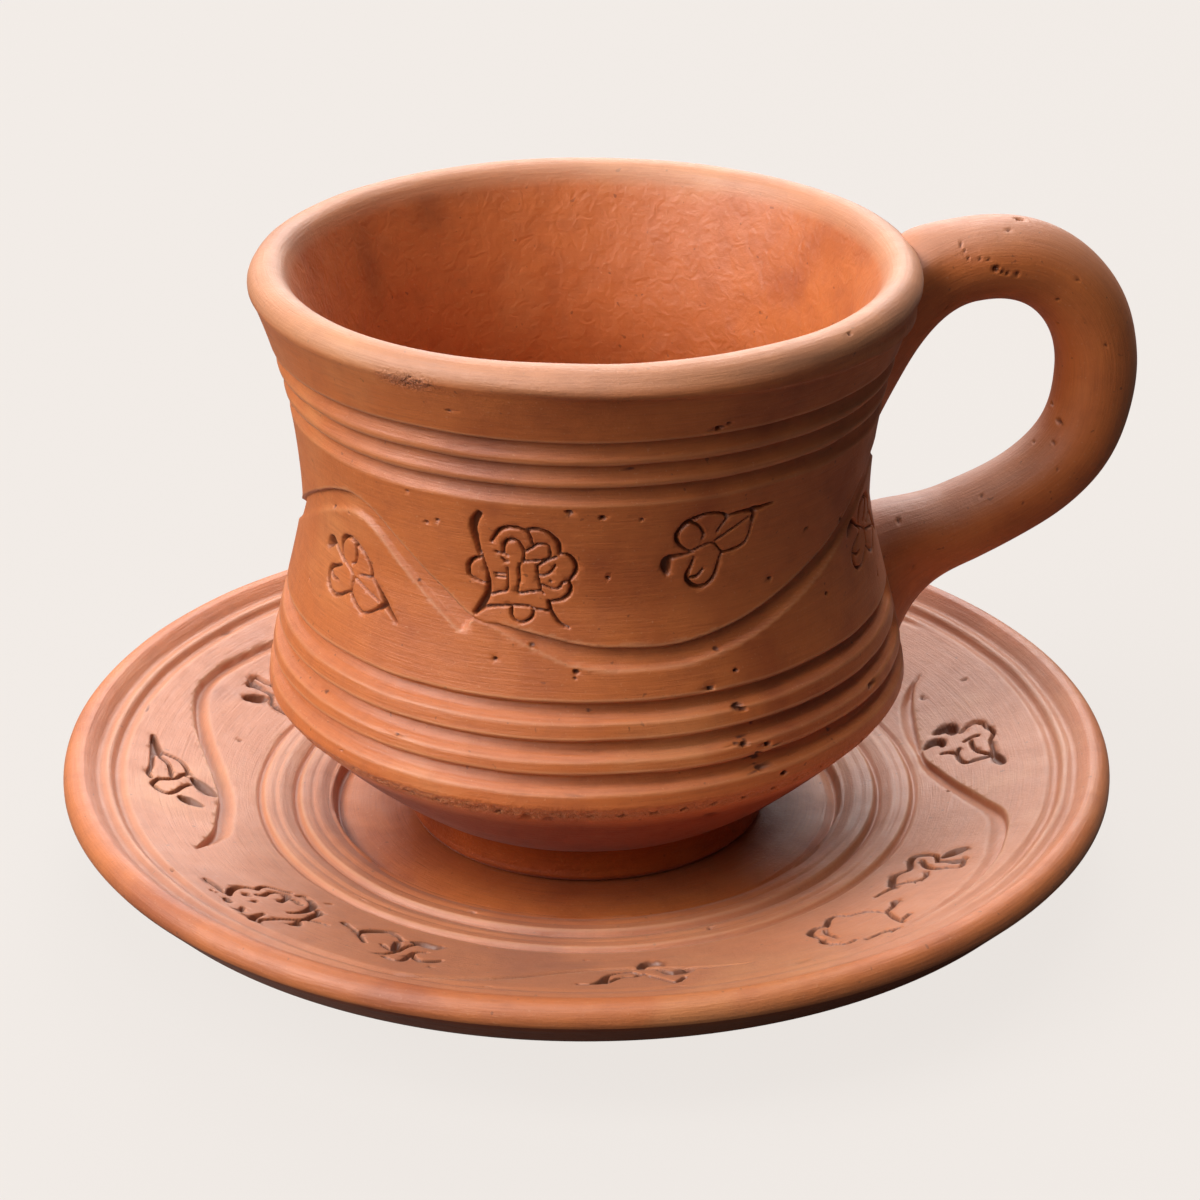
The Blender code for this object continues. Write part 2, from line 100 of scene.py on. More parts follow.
# Saucer: radii, and heights above the table
SAUCER_RADIUS = SAUCER_HIGH.y
SAUCER_TOP = SAUCER_HIGH.z
WELL_FLOOR = FOOT_LOW.z - 0.3
WELL_RADIUS = 35.0
WELL_EDGE_RUN = 1.4
WELL_EDGE_DIP = 0.5
WELL_STEP_RUN = 0.8
INNER_BAND_RADIUS = 46.6
BAND_MIDDLE = 55.0
RIM_FOOT_RADIUS = SAUCER_RADIUS - 5.2
INNER_BAND_HEIGHT = WELL_FLOOR + 1.6
BAND_HEIGHT = INNER_BAND_HEIGHT + 1.0
BAND_OVERRUN = 3.0
RIM_FOOT_HEIGHT = SAUCER_TOP - 1.3
RIM_ROUND = 2.2
RIM_LEAN = 22.0
RIM_SIDE = 0.7
RIM_UNDERCUT = (4.0, 4.2)
BASE_RADIUS = 41.0
BASE_EDGE = 1.8

# Rings round the saucer's well: distance out from the well's edge and rise over the band
RING_RISE = ((0.8, -0.3), (2.6, 0.3), (5.4, 0.3), (6.2, -0.3), (8.0, 0.3), (10.4, 0.3), (11.2, 0.0))

# Turned lines of the saucer: radius, depth, half width
SAUCER_LINES = (
    (40.8, 0.65, 0.65), (45.8, 0.65, 0.65), (38.7, 0.16, 0.4), (43.8, 0.16, 0.4),
    (65.0, 0.65, 1.2), (67.5, 0.65, 1.2),
)

# The outer lines fade at the front: azimuth, reach in degrees, share lost, inner radius
LINE_FADE = (-92.0, 34.0, 0.75, RIM_FOOT_RADIUS - 4.0)

# Handle: centreline numbers from the cup's lip, waist and foot
HANDLE_RADIUS = 5.7
HANDLE_SWELL = 0.8
HANDLE_FLARE = 24.0
UPPER_ROOT_HEIGHT = BODY_HIGH.z - 9.0
UPPER_ROOT_ANGLE = math.radians(35)
LOWER_ROOT_HEIGHT = FOOT_LOW.z + 33.5
LOWER_ROOT_ANGLE = math.radians(22)
CROWN = (WAIST_RADIUS + 16.6, BODY_HIGH.z - 3.9)
OUTERMOST = (WAIST_RADIUS + 32.5, BODY_HIGH.z - 20.6)
UPPER_PULLS = (0.4, 0.45)
CROWN_PULLS = (0.62, 0.5)
LOWER_PULLS = (0.59, 0.72)

# Ends of the handle on the wall: height, reach up and down, tilt off the wall, and its pull
UPPER_ROOT = (UPPER_ROOT_HEIGHT, 8.6, 21.0, 0.5)
UPPER_ROOT_PULL = 1.0
LOWER_ROOT = (LOWER_ROOT_HEIGHT, 7.4, 13.2, 0.3)
LOWER_ROOT_PULL = 1.5
ROOT_HALF_WIDTH = 7.4
ROOT_PINCH = (0.35, 12.0)
ROOT_RUN = 12.0
ROOT_SINK = 0.3
ROOT_INTO = 0.9
ROOT_CLEAR = (1.0, 1.4)

# Mesh grids: a cell that carries carving is split into 2 or 4 parts each way, most on the front
SPLIT = 4
CARVED_KIND = 0.99
PLAIN_KIND = 0.01
CUP_LATTICE = 1440
SAUCER_LATTICE = 1920
FOOT_LATTICE = 360
FRONT_AZIMUTH = -100.0
FRONT_REACH = -0.15
NEAR_STROKE = 0.35
NEAR_PIT = 0.3
NEAR_CREASE = (0.3, 0.6)
NEAR_WAVE = (0.5, 0.3)
NEAR_VINE = 0.5
NEAR_BELLY_EDGE = (0.5, 1.2)
FAR = 9.0
TINY = 1e-9

# Uneven clay: height in millimetres, then its noise: scale, octaves, offset, and how far it sinks
CUP_WAVER = (0.16, 0.09, 2)
SAUCER_WAVER = (0.14, 0.08, 2)
CUP_UNEVEN = (0.12, 0.06, 2, 5.0, 0.8)
SAUCER_UNEVEN = (0.1, 0.05, 2, 5.0, 0.8)
FOOT_UNEVEN = (0.12, 0.12, 3, 2.0, 0.9)
HANDLE_UNEVEN = (0.16, 0.07, 2, 5.0, 0.9)
INSIDE_DABS = (0.16, 0.3, 3, 9.0)
PIT_GRAIN = (1.0, 0.9, 2, 7.0)
CRUMB_GRAIN = (1.0, 1.6, 3, 3.0)
FRACTAL = (0.9, 2.0)


def smoothstep(low, high, value):
    share = np.clip((value - low) / (high - low), 0.0, 1.0)
    return share * share * (3.0 - 2.0 * share)


def bell(offset, width):
    """A soft hump, 1 in its middle."""
    return np.exp(-((offset / width) ** 2))


def degrees_from(azimuth, middle):
    """Degrees past a middle azimuth, from -180 to 180."""
    return np.angle(np.exp(1j * np.radians(azimuth - middle)), deg=True)


def arc_from(azimuth, middle, radius):
    """Length along a circle from a middle azimuth."""
    return np.radians(degrees_from(azimuth, middle)) * radius


def even(start, end, step):
    """Evenly spaced numbers from start up to but not including end."""
    count = max(1, round(abs(end - start) / step))
    return np.linspace(start, end, count, endpoint=False)


def lumps(points, height, scale, octaves, offset=0.0, sink=0.0):
    """Smooth random heights at each point, about as far up as down before they sink."""
    shift = Vector((offset, offset, offset))
    found = [noise.fractal(Vector(p) * scale + shift, *FRACTAL, octaves) for p in points]
    return height * (np.array(found) - sink)


def eased(share, start, out, end, into):
    """The point at a share of the smooth curve that leaves start along out and enters end along into."""
    cube = share**3
    square = share**2
    return (
        (2 * cube - 3 * square + 1) * start + (cube - 2 * square + share) * out
        + (3 * square - 2 * cube) * end + (cube - square) * into
    )


def through(points, step=0.35):
    """A smooth curve through a few points, as many points."""
    points = np.array(points, float)
    padded = np.vstack([2 * points[0] - points[1], points, 2 * points[-1] - points[-2]])
    curve = []
    for before, start, end, after in zip(padded, padded[1:], padded[2:], padded[3:]):
        count = max(2, math.ceil(np.linalg.norm(end[:2] - start[:2]) / step))
        for share in np.arange(count) / count:
            curve.append(eased(share, start, (end - before) / 2, end, (after - start) / 2))
    return np.array(curve + [points[-1]])


def curve_height(where, knots):
    """Height and slope of a smooth curve over one axis, from knots in rising order."""
    at, height = np.array(knots, float).T
    slope = np.gradient(height, at)
    span = np.clip(np.searchsorted(at, where) - 1, 0, len(at) - 2)
    run = at[span + 1] - at[span]
    share = np.clip((where - at[span]) / run, 0.0, 1.0)
    value = eased(share, height[span], run * slope[span], height[span + 1], run * slope[span + 1])
    return value, slope[span] * (1 - share) + slope[span + 1] * share


def lengths_along(points):
    """Length of a line from its start to each of its points."""
    steps = np.linalg.norm(np.diff(points, axis=0), axis=1)
    return np.concatenate([[0.0], np.cumsum(steps)])


def cove(below, depth, width):
    """Depth of a turned groove: a sharp step in, then a hollow that slopes back out."""
    fall = smoothstep(0.0, RING_STEP, below)
    rise = np.clip((below - RING_STEP) / (width - RING_STEP), 0.0, 1.0)
    return depth * fall * (1.0 - rise**RING_CURVE)


def line_shape(offset):
    """Depth of a soft turned line, 1 in its middle and 0 from one half width out."""
    return 1.0 - smoothstep(0.0, 1.0, np.abs(offset))


def wall_radius(height):
    """Radius of the plain turned wall."""
    height = np.asarray(height, float)
    above = np.clip((height - WAIST_HEIGHT) / (LIP_HEIGHT - WAIST_HEIGHT), 0.0, FLARE_END)
    below = np.clip((WAIST_HEIGHT - height) / (WAIST_HEIGHT - BELLY_HEIGHT), 0.0, 1.0)
    flare = (LIP_RADIUS - WAIST_RADIUS) * above**2
    swell = (BELLY_RADIUS - WAIST_RADIUS) * (below + smoothstep(0.0, 1.0, below)) / 2
    return WAIST_RADIUS + flare + swell


def outside_radius(height):
    """Radius of the cup's outside, with its rounded lip."""
    over = np.clip(np.asarray(height, float) - LIP_HEIGHT, 0.0, LIP_ROUND)
    lip = LIP_RADIUS - LIP_ROUND + np.sqrt(LIP_ROUND**2 - over**2)
    return np.where(over > 0, lip, wall_radius(height))


def band_height(radius):
    """Height of the saucer's upper side between the well and the rim, without its rings."""
    rim_slope = (RIM_FOOT_HEIGHT - BAND_HEIGHT) / (RIM_FOOT_RADIUS - INNER_BAND_RADIUS)
    stops = (
        (0.0, WELL_FLOOR), (WELL_RADIUS - WELL_EDGE_RUN, WELL_FLOOR),
        (WELL_RADIUS, WELL_FLOOR - WELL_EDGE_DIP), (WELL_RADIUS + WELL_STEP_RUN, INNER_BAND_HEIGHT),
        (INNER_BAND_RADIUS, BAND_HEIGHT),
        (RIM_FOOT_RADIUS + BAND_OVERRUN, RIM_FOOT_HEIGHT + BAND_OVERRUN * rim_slope),
    )
    return np.interp(radius, *np.array(stops).T)


# Carved motifs: each stroke is its points, and the width of the cut at each, in millimetres
SPRIG = (
    ((-6.0, -1.5, 0.7), (-5.8, -0.6, 1.5), (-5.4, 0.1, 1.3), (-4.7, 0.3, 0.7), (-3.6, 0.0, 0.45),
     (-2.2, -0.3, 0.2)),
    ((-2.0, -0.4, 0.2), (-3.0, 0.8, 0.35), (-3.4, 2.0, 0.55), (-3.1, 3.0, 0.6), (-2.4, 3.6, 0.55),
     (-1.3, 4.0, 0.7), (0.8, 4.0, 0.4), (2.1, 3.5, 0.4), (3.1, 2.8, 0.4), (3.6, 2.1, 0.4)),
    ((-1.0, 3.8, 0.45), (-0.3, 2.9, 0.4), (0.0, 2.0, 0.35), (0.0, 1.3, 0.3), (-0.4, 0.8, 0.15)),
    ((3.6, 2.1, 0.35), (3.0, 1.6, 0.3), (2.3, 1.2, 0.2), (1.7, 0.7, 0.1)),
    ((3.6, 2.1, 0.3), (4.8, 1.9, 0.35), (6.0, 1.4, 0.55), (7.2, 0.9, 0.9), (8.1, 0.6, 0.65),
     (10.0, 0.1, 0.3)),
    ((7.2, 0.6, 0.65), (6.8, -0.2, 0.65), (6.4, -0.9, 0.3), (5.5, -2.3, 0.3), (4.7, -2.9, 0.35),
     (3.7, -3.0, 0.4), (2.6, -2.8, 0.4), (1.5, -2.4, 0.35)),
    ((6.2, 0.3, 0.2), (3.6, 0.0, 0.15), (1.2, -0.3, 0.1)),
    ((-2.1, -1.1, 0.2), (-2.9, -2.1, 0.4), (-3.6, -2.8, 0.55), (-3.9, -3.6, 0.65), (-3.6, -4.6, 0.65),
     (-2.8, -5.3, 0.6), (-1.9, -5.5, 0.5), (-0.9, -5.2, 0.5), (-0.1, -4.5, 0.45), (0.9, -3.0, 0.3),
     (1.5, -2.4, 0.3)),
    ((-3.3, -3.6, 0.4), (-2.6, -3.8, 0.4), (-2.0, -3.5, 0.35), (-1.5, -3.2, 0.15)),
    ((-2.2, -0.1, 0.15), (0.0, -0.2, 0.1), (0.9, -0.7, 0.15), (1.5, -2.4, 0.2)),
)
FLOWER = (
    ((-5.3, 7.2, 0.8), (-6.0, 6.1, 1.1), (-6.2, 5.0, 1.0), (-6.0, 3.8, 0.9), (-5.8, 2.7, 0.65),
     (-5.6, 1.6, 0.4)),
    ((-5.4, 1.1, 0.3), (-6.2, 0.8, 0.45), (-7.0, 0.0, 0.5), (-7.2, -1.0, 0.5), (-6.8, -1.9, 0.45),
     (-4.7, -2.5, 0.2)),
    ((-5.4, 2.1, 0.2), (-4.7, -0.6, 0.3), (-4.5, -1.8, 0.4), (-4.5, -2.9, 0.6), (-4.8, -4.2, 0.8),
     (-5.4, -5.3, 0.9), (-6.3, -6.5, 0.5)),
    ((-6.3, -6.6, 0.45), (-5.0, -5.7, 0.4), (-3.4, -5.3, 0.3), (0.0, -4.9, 0.25), (1.4, -5.2, 0.2),
     (3.3, -5.4, 0.35)),
    ((-3.9, 3.6, 0.35), (-3.3, 4.6, 0.45), (-2.6, 5.4, 0.5), (-1.5, 5.8, 0.45), (-0.5, 5.8, 0.45),
     (0.3, 5.5, 0.45), (0.9, 5.0, 0.35), (1.3, 3.6, 0.2)),
    ((0.5, 5.5, 0.35), (1.4, 5.8, 0.45), (2.4, 5.7, 0.45), (3.3, 5.3, 0.5), (4.0, 4.6, 0.55),
     (4.5, 3.8, 0.55), (4.6, 2.5, 0.45)),
    ((4.9, 2.5, 0.2), (5.7, 2.3, 0.45), (6.3, 1.6, 0.5), (6.6, 0.7, 0.5), (6.4, -0.2, 0.45),
     (5.7, -1.2, 0.2)),
    ((5.7, -1.3, 0.2), (5.9, -2.2, 0.45), (5.7, -3.0, 0.45), (5.0, -3.7, 0.45), (4.1, -4.0, 0.35),
     (3.1, -4.2, 0.3)),
    ((3.1, -4.1, 0.35), (3.3, -5.0, 0.5), (3.5, -5.5, 0.45), (4.1, -6.4, 0.4), (4.8, -7.1, 0.4),
     (5.7, -7.4, 0.2)),
    ((-1.5, -5.3, 0.3), (-1.6, -6.0, 0.35), (-1.2, -6.8, 0.3), (-0.3, -7.1, 0.3), (0.5, -6.8, 0.35),
     (1.1, -6.2, 0.35), (1.2, -5.5, 0.3)),
    ((-2.4, 2.1, 0.3), (-2.4, 3.0, 0.45), (-2.0, 3.8, 0.45), (-1.2, 4.1, 0.4), (-0.5, 3.9, 0.35),
     (0.0, 3.1, 0.3), (0.2, 2.3, 0.25), (0.0, 1.1, 0.2)),
    ((0.4, 2.6, 0.15), (1.5, 3.4, 0.2), (1.8, 3.7, 0.25), (2.6, 3.8, 0.3), (3.2, 3.6, 0.25),
     (3.4, 2.8, 0.2), (3.3, 1.9, 0.15), (2.3, 1.5, 0.15), (0.0, 1.2, 0.15)),
    ((4.2, 2.1, 0.15), (2.9, 1.4, 0.2), (2.0, 0.8, 0.2), (1.7, 0.1, 0.25), (1.8, -0.5, 0.2),
     (2.6, -0.6, 0.15), (3.5, 0.0, 0.15), (4.0, 0.9, 0.1)),
    ((2.3, -1.9, 0.15), (3.7, -2.4, 0.15), (4.5, -2.2, 0.15), (4.9, -1.5, 0.15), (5.6, -1.3, 0.15)),
    ((-2.0, 0.1, 0.15), (-2.1, -2.9, 0.15), (-3.1, -3.4, 0.2), (-4.2, -3.9, 0.15)),
    ((-0.4, 0.8, 0.2), (-0.6, -0.2, 0.3), (-0.5, -1.3, 0.3), (-0.7, -2.3, 0.2), (-0.7, -3.3, 0.2),
     (0.7, -3.0, 0.25), (2.1, -2.8, 0.25), (2.5, -3.1, 0.2)),
    ((1.7, 0.7, 0.2), (1.8, -0.6, 0.15), (2.2, -2.6, 0.15)),
    ((-3.6, -0.9, 0.15), (-2.4, -0.8, 0.15)),
    ((-3.5, -1.3, 0.15), (-2.4, -1.3, 0.15)),
    ((-3.4, 2.2, 0.1), (-1.8, 1.8, 0.1)),
    ((-2.6, 1.4, 0.15), (-2.3, 1.0, 0.35), (-1.8, 1.0, 0.15)),
)
LEFT_BUD = (
    ((6.1, 1.3, 1.0), (6.7, 2.2, 1.9), (7.5, 3.6, 1.0)),
    ((0.1, 3.1, 0.9), (1.3, 4.0, 1.9), (2.8, 5.0, 2.0), (3.6, 5.9, 0.8)),
    ((3.8, -2.5, 0.5), (2.3, -1.7, 0.55), (1.7, -0.4, 0.45), (0.9, 0.8, 0.35), (-0.3, 1.5, 0.45),
     (-1.0, 2.3, 0.35)),
    ((3.9, -2.5, 0.5), (5.1, -1.7, 0.55), (5.6, -0.5, 0.55), (4.7, 0.6, 0.5), (2.9, 1.7, 0.35),
     (1.9, 2.7, 0.25)),
    ((-5.1, -2.0, 0.6), (-4.7, -0.6, 0.45), (-4.1, 0.9, 0.5), (-2.7, 1.9, 0.5), (-1.2, 2.3, 0.35)),
    ((-8.0, -3.4, 0.4), (-4.2, -2.8, 0.3), (-1.2, -2.6, 0.35), (1.0, -3.0, 0.2), (2.1, -2.6, 0.15)),
    ((-8.5, -3.4, 0.7), (-6.8, -2.9, 1.1), (-4.8, -2.2, 1.3), (-4.1, -1.9, 0.5)),
    ((-3.6, -1.6, 0.2), (-2.5, -0.5, 0.25), (-0.6, 0.0, 0.2), (0.6, 0.1, 0.15)),
)
RIGHT_BUD = (
    ((6.2, 3.3, 1.0), (6.3, 2.3, 1.9), (5.9, 1.3, 2.0), (4.5, 1.2, 1.2)),
    ((3.1, 5.7, 0.8), (3.7, 4.5, 1.8), (3.2, 3.5, 1.4), (1.9, 3.4, 0.6)),
    ((-0.2, 4.0, 0.15), (-0.6, 3.0, 0.25), (-1.3, 2.4, 0.2)),
    ((3.8, 0.3, 0.45), (4.7, -0.8, 0.5), (4.8, -2.1, 0.5), (3.9, -2.9, 0.45), (2.6, -3.1, 0.25)),
    ((1.1, 0.5, 0.2), (1.5, -0.6, 0.35), (1.4, -1.5, 0.2)),
    ((-0.4, 1.6, 0.4), (-1.6, 2.1, 0.5), (-3.5, 2.0, 0.5), (-4.9, 1.4, 0.55), (-5.1, 0.2, 0.5),
     (-5.1, -2.1, 0.6)),
    ((0.6, -0.3, 0.15), (-1.1, -0.2, 0.35), (-2.9, -0.7, 0.45), (-4.0, -1.6, 0.45), (-4.7, -2.3, 0.6)),
    ((-1.1, -2.7, 0.5), (-3.2, -2.6, 0.5), (-4.6, -2.5, 0.9), (-6.5, -3.0, 1.5), (-7.7, -3.4, 1.0)),
    ((2.5, -3.2, 0.1), (0.9, -3.6, 0.12), (-0.8, -2.8, 0.15)),
)
OPEN_FLOWER = (
    ((-8.1, -3.9, 0.5), (-7.2, -3.9, 0.6), (-5.7, -3.8, 0.25), (-4.5, -3.9, 0.5), (-3.9, -3.7, 0.6)),
    ((-3.4, -3.6, 0.6), (-4.6, -2.6, 0.9), (-5.2, -1.6, 0.8), (-5.4, -0.7, 0.6), (-5.3, 0.3, 0.45),
     (-4.5, 1.4, 0.6)),
    ((-4.6, 1.5, 0.5), (-5.1, 2.4, 0.45), (-5.1, 3.3, 0.45), (-4.5, 4.0, 0.35), (-3.5, 4.7, 0.2),
     (-2.7, 5.4, 0.15)),
    ((-2.8, 0.2, 0.3), (-2.5, 1.0, 0.6), (-3.0, 2.0, 0.5), (-3.2, 3.1, 0.4), (-2.7, 3.9, 0.45),
     (-1.6, 4.3, 0.8), (-0.5, 2.8, 0.5), (-0.2, 1.9, 0.8)),
    ((-1.4, 5.7, 0.4), (-1.1, 6.6, 0.35), (0.6, 6.3, 0.8), (2.2, 5.5, 1.0), (3.2, 3.9, 0.9),
     (3.7, 2.4, 0.7), (3.7, 1.2, 0.5), (3.4, 0.3, 0.2)),
    ((1.3, 4.0, 0.8), (0.2, 4.3, 0.4), (-0.3, 4.0, 0.2)),
    ((4.0, 4.7, 0.9), (4.9, 4.2, 0.9), (5.3, 2.8, 0.8), (5.8, 1.2, 0.7), (5.8, 0.0, 0.4), (5.2, -1.5, 0.3),
     (4.7, -2.8, 0.3), (4.2, -5.2, 0.25)),
    ((2.8, -3.4, 0.4), (3.0, -4.7, 0.7), (3.4, -6.0, 1.0), (4.0, -6.2, 0.8), (4.4, -5.6, 0.4)),
    ((6.1, -0.7, 0.6), (6.8, -1.8, 0.9), (6.6, -2.7, 0.4)),
    ((6.2, 0.8, 0.3), (7.3, 1.5, 0.4), (8.5, 1.8, 0.5)),
    ((-3.1, -1.4, 0.7), (-3.3, -0.9, 0.5)),
    ((-0.9, -1.8, 0.5), (-1.0, -1.3, 0.4)),
    ((-2.3, -4.9, 0.8), (-1.7, -5.1, 0.9)),
    ((1.2, -5.7, 0.5), (0.4, -4.6, 0.4)),
)
LEAF_BUD = (
    ((-9.7, 2.3, 0.9), (-7.9, 1.6, 0.5), (-6.1, 0.9, 0.7)),
    ((-6.1, 0.9, 0.5), (-5.9, 2.4, 1.2), (-5.0, 3.8, 1.2), (-3.8, 4.7, 0.9), (-1.9, 4.0, 0.6),
     (-0.6, 2.7, 0.3)),
    ((-5.8, 0.5, 0.4), (-4.6, -0.6, 0.6), (-3.4, -1.7, 0.3)),
    ((-0.6, 1.8, 0.9), (0.2, 0.0, 1.0), (0.5, -1.8, 0.5), (-1.5, -0.6, 0.15)),
    ((0.2, -4.4, 0.5), (0.9, -3.6, 0.3), (1.3, -1.4, 0.4), (1.2, 1.1, 0.5), (1.6, 2.8, 0.5)),
    ((1.3, -5.1, 0.4), (2.6, -5.4, 0.5), (3.5, -4.6, 0.6), (3.2, -2.0, 0.4), (3.2, -0.3, 0.4),
     (4.2, 0.5, 0.3)),
    ((1.0, 3.5, 1.0), (2.1, 3.7, 1.8), (3.8, 3.5, 1.8), (4.7, 4.2, 0.8)),
    ((3.5, -1.7, 0.4), (4.5, -3.2, 0.4), (5.6, -3.2, 0.9), (6.5, -2.5, 1.0), (7.2, -1.5, 0.5)),
)
FRONT_BUD = (
    ((-7.6, -3.5, 0.2), (-6.2, -3.4, 0.5), (-4.9, -2.3, 1.2), (-4.4, 0.0, 0.6), (-3.3, 1.2, 0.4),
     (-1.3, 1.6, 0.25), (-0.4, 0.3, 0.3)),
    ((-4.6, -3.0, 0.4), (-2.9, -0.8, 0.3), (-1.2, -0.5, 0.4), (0.1, 0.5, 0.3)),
    ((0.2, 3.9, 1.0), (1.4, 5.3, 2.0), (2.5, 5.3, 1.6), (3.0, 3.8, 0.6)),
    ((2.3, 1.9, 0.5), (3.3, 0.1, 1.6), (4.7, 0.2, 1.8), (6.0, 1.0, 0.8)),
    ((0.5, -0.3, 0.3), (1.3, -1.8, 0.3), (2.8, -4.4, 0.5), (3.7, -3.5, 0.5), (4.4, -2.4, 0.3)),
)
FAINT_FLOWER = (
    ((-5.4, 2.3, 0.6), (-5.0, 3.4, 0.8), (-3.3, 4.5, 0.8), (-1.7, 4.1, 0.6)),
    ((-1.6, 4.2, 0.7), (0.2, 5.7, 0.7), (1.7, 5.8, 0.6), (2.3, 4.3, 0.5), (3.4, 3.7, 0.35), (4.4, 2.9, 0.4),
     (4.8, 1.1, 0.4), (4.8, -0.2, 0.4)),
    ((5.2, 0.2, 0.5), (6.9, 0.7, 0.5), (8.3, 1.5, 1.1)),
    ((4.7, -0.6, 0.3), (3.7, -2.5, 0.35), (3.0, -4.7, 0.4)),
    ((3.6, -4.0, 0.3), (5.3, -3.5, 0.6)),
    ((-5.5, 1.7, 0.3), (-5.5, 0.1, 0.6), (-6.3, -1.4, 0.7), (-5.8, -3.2, 0.4), (-5.0, -4.3, 0.5),
     (-3.5, -4.0, 0.3)),
    ((-3.0, 2.8, 0.4), (-3.9, 1.2, 0.5), (-4.2, -1.3, 0.3)),
    ((-2.8, -5.3, 0.3), (-1.4, -5.1, 0.45), (-0.4, -5.2, 0.3), (1.3, -5.8, 0.2)),
)
LONG_BUD = (
    ((-9.5, 2.0, 0.3), (-7.5, 1.8, 0.6), (-6.2, 1.5, 0.8)),
    ((-5.6, 2.1, 0.9), (-2.8, 3.5, 0.9), (-1.2, 3.2, 0.7), (-0.1, 2.4, 0.6), (2.5, 3.5, 0.8),
     (4.3, 3.6, 0.9), (4.7, 2.3, 0.8), (4.3, 0.6, 0.6), (2.8, -0.3, 0.3)),
    ((-5.5, 1.7, 0.4), (-4.5, 0.7, 0.5), (-3.7, -0.7, 0.5), (-2.5, -1.2, 0.4), (-1.1, -0.6, 0.2)),
    ((2.9, 2.0, 0.5), (0.9, 0.6, 0.6), (0.1, -1.1, 0.6), (0.4, -3.0, 0.5), (0.6, -4.6, 0.4),
     (2.2, -4.3, 0.4)),
    ((3.9, -0.9, 1.0), (5.0, -1.7, 1.9), (5.9, -2.7, 1.2)),
    ((2.3, -0.5, 0.3), (2.3, -1.6, 0.4), (2.2, -3.4, 1.2), (2.8, -4.1, 0.8)),
)

# Cut strokes: depth, widths, sides and shoulders in half widths, and how dark they are, a painted shade
STROKE_DEPTH = 1.0
STROKE_WIDEN = 0.03
STROKE_THINNEST = 0.26
SAUCER_STROKE_THINNEST = 0.55
STROKE_SHALLOW = (0.2, 2.6)
STROKE_SIDE = (0.5, 1.05)
STROKE_ROUND = 0.1
STROKE_SHOULDER = (0.7, 2.0)
STROKE_SHADE = 0.8
STROKE_SHADE_EDGE = 0.7
SAUCER_STROKE_SHADE_EDGE = 1.0
STROKE_SHADE_FADE = 0.4
STROKE_REACH = 12.5
STROKE_MARGIN = 1.2

# Places of the motifs on the cup: motif, azimuth, height, turn, all angles in degrees
CUP_PLACES = (
    (SPRIG, -77.0, 60.8, 20.0), (SPRIG, -151.4, 51.9, -25.0), (FLOWER, -111.5, 58.1, 0.0),
    (SPRIG, -27.5, 52.6, -25.0), (SPRIG, 43.0, 60.8, 20.0), (SPRIG, 89.0, 52.0, -25.0),
    (FLOWER, 128.5, 58.1, 0.0), (SPRIG, 163.0, 60.8, 20.0),
)

# Places on the saucer: motif, azimuth, radius
SAUCER_PLACES = (
    (LEFT_BUD, 175.2, 58.0), (OPEN_FLOWER, -145.5, 57.1), (LEAF_BUD, -126.1, 54.7),
    (FRONT_BUD, -92.8, 58.1), (FAINT_FLOWER, -62.6, 57.1), (LONG_BUD, -43.0, 53.6),
    (RIGHT_BUD, -4.0, 54.7), (LONG_BUD, 141.5, 51.2), (LEFT_BUD, 107.0, 57.0),
    (OPEN_FLOWER, 84.0, 56.4), (LEAF_BUD, 57.0, 55.0),
)

# Wavy groove round the cup: degrees past its start at the left and height of its sharp upper edge
CUP_WAVE = (
    (0, 55.6), (13.5, 59.9), (22.3, 62.2), (29, 63.0), (34.4, 62.0), (39.5, 59.4), (46.2, 56.1),
    (50.8, 53.8), (56.0, 51.2), (58.0, 50.7), (61.5, 50.6), (67.2, 49.9), (79.8, 48.3), (87.6, 48.0),
    (95.7, 48.0), (104.4, 48.9), (114.2, 50.7), (126.1, 53.6), (136.2, 56.6), (145.4, 60.2), (152, 62.6),
    (158, 63.2), (167, 60.0), (176, 55.1), (184, 51.4), (192, 50.6), (204, 48.2), (218, 48.0), (232, 50.2),
    (246, 54.4), (260, 60.0), (268, 63.0), (280, 60.0), (289, 55.1), (297, 51.4), (305, 50.6), (317, 48.2),
    (331, 48.2), (347, 51.4), (360, 55.6),
)
CUP_WAVE_START = -178.0
CUP_WAVE_TIPS = (57.0, 184.5, 297.5)
CUP_WAVE_NARROWS = (18.0, 0.12)
CUP_WAVE_SLANT = 1.1
CUP_WAVE_STEP = 0.3
# Painted shade along the wave's upper edge: distance below it, reach, strength
CUP_WAVE_CREASE = (0.2, 0.28, 0.4)
CUP_WAVE_DEPTH = 1.1
CUP_WAVE_WIDTH = 2.7
CUP_WAVE_LOWER = 0.5
CUP_WAVE_END = 0.1
CUP_WAVE_FULL = 1.5
CUP_WAVE_SIDES = (
    (0, 0.4), (12, 0.42), (28, 1.0), (135, 1.0), (150, 0.25), (165, 0.8), (345, 0.8), (360, 0.4),
)

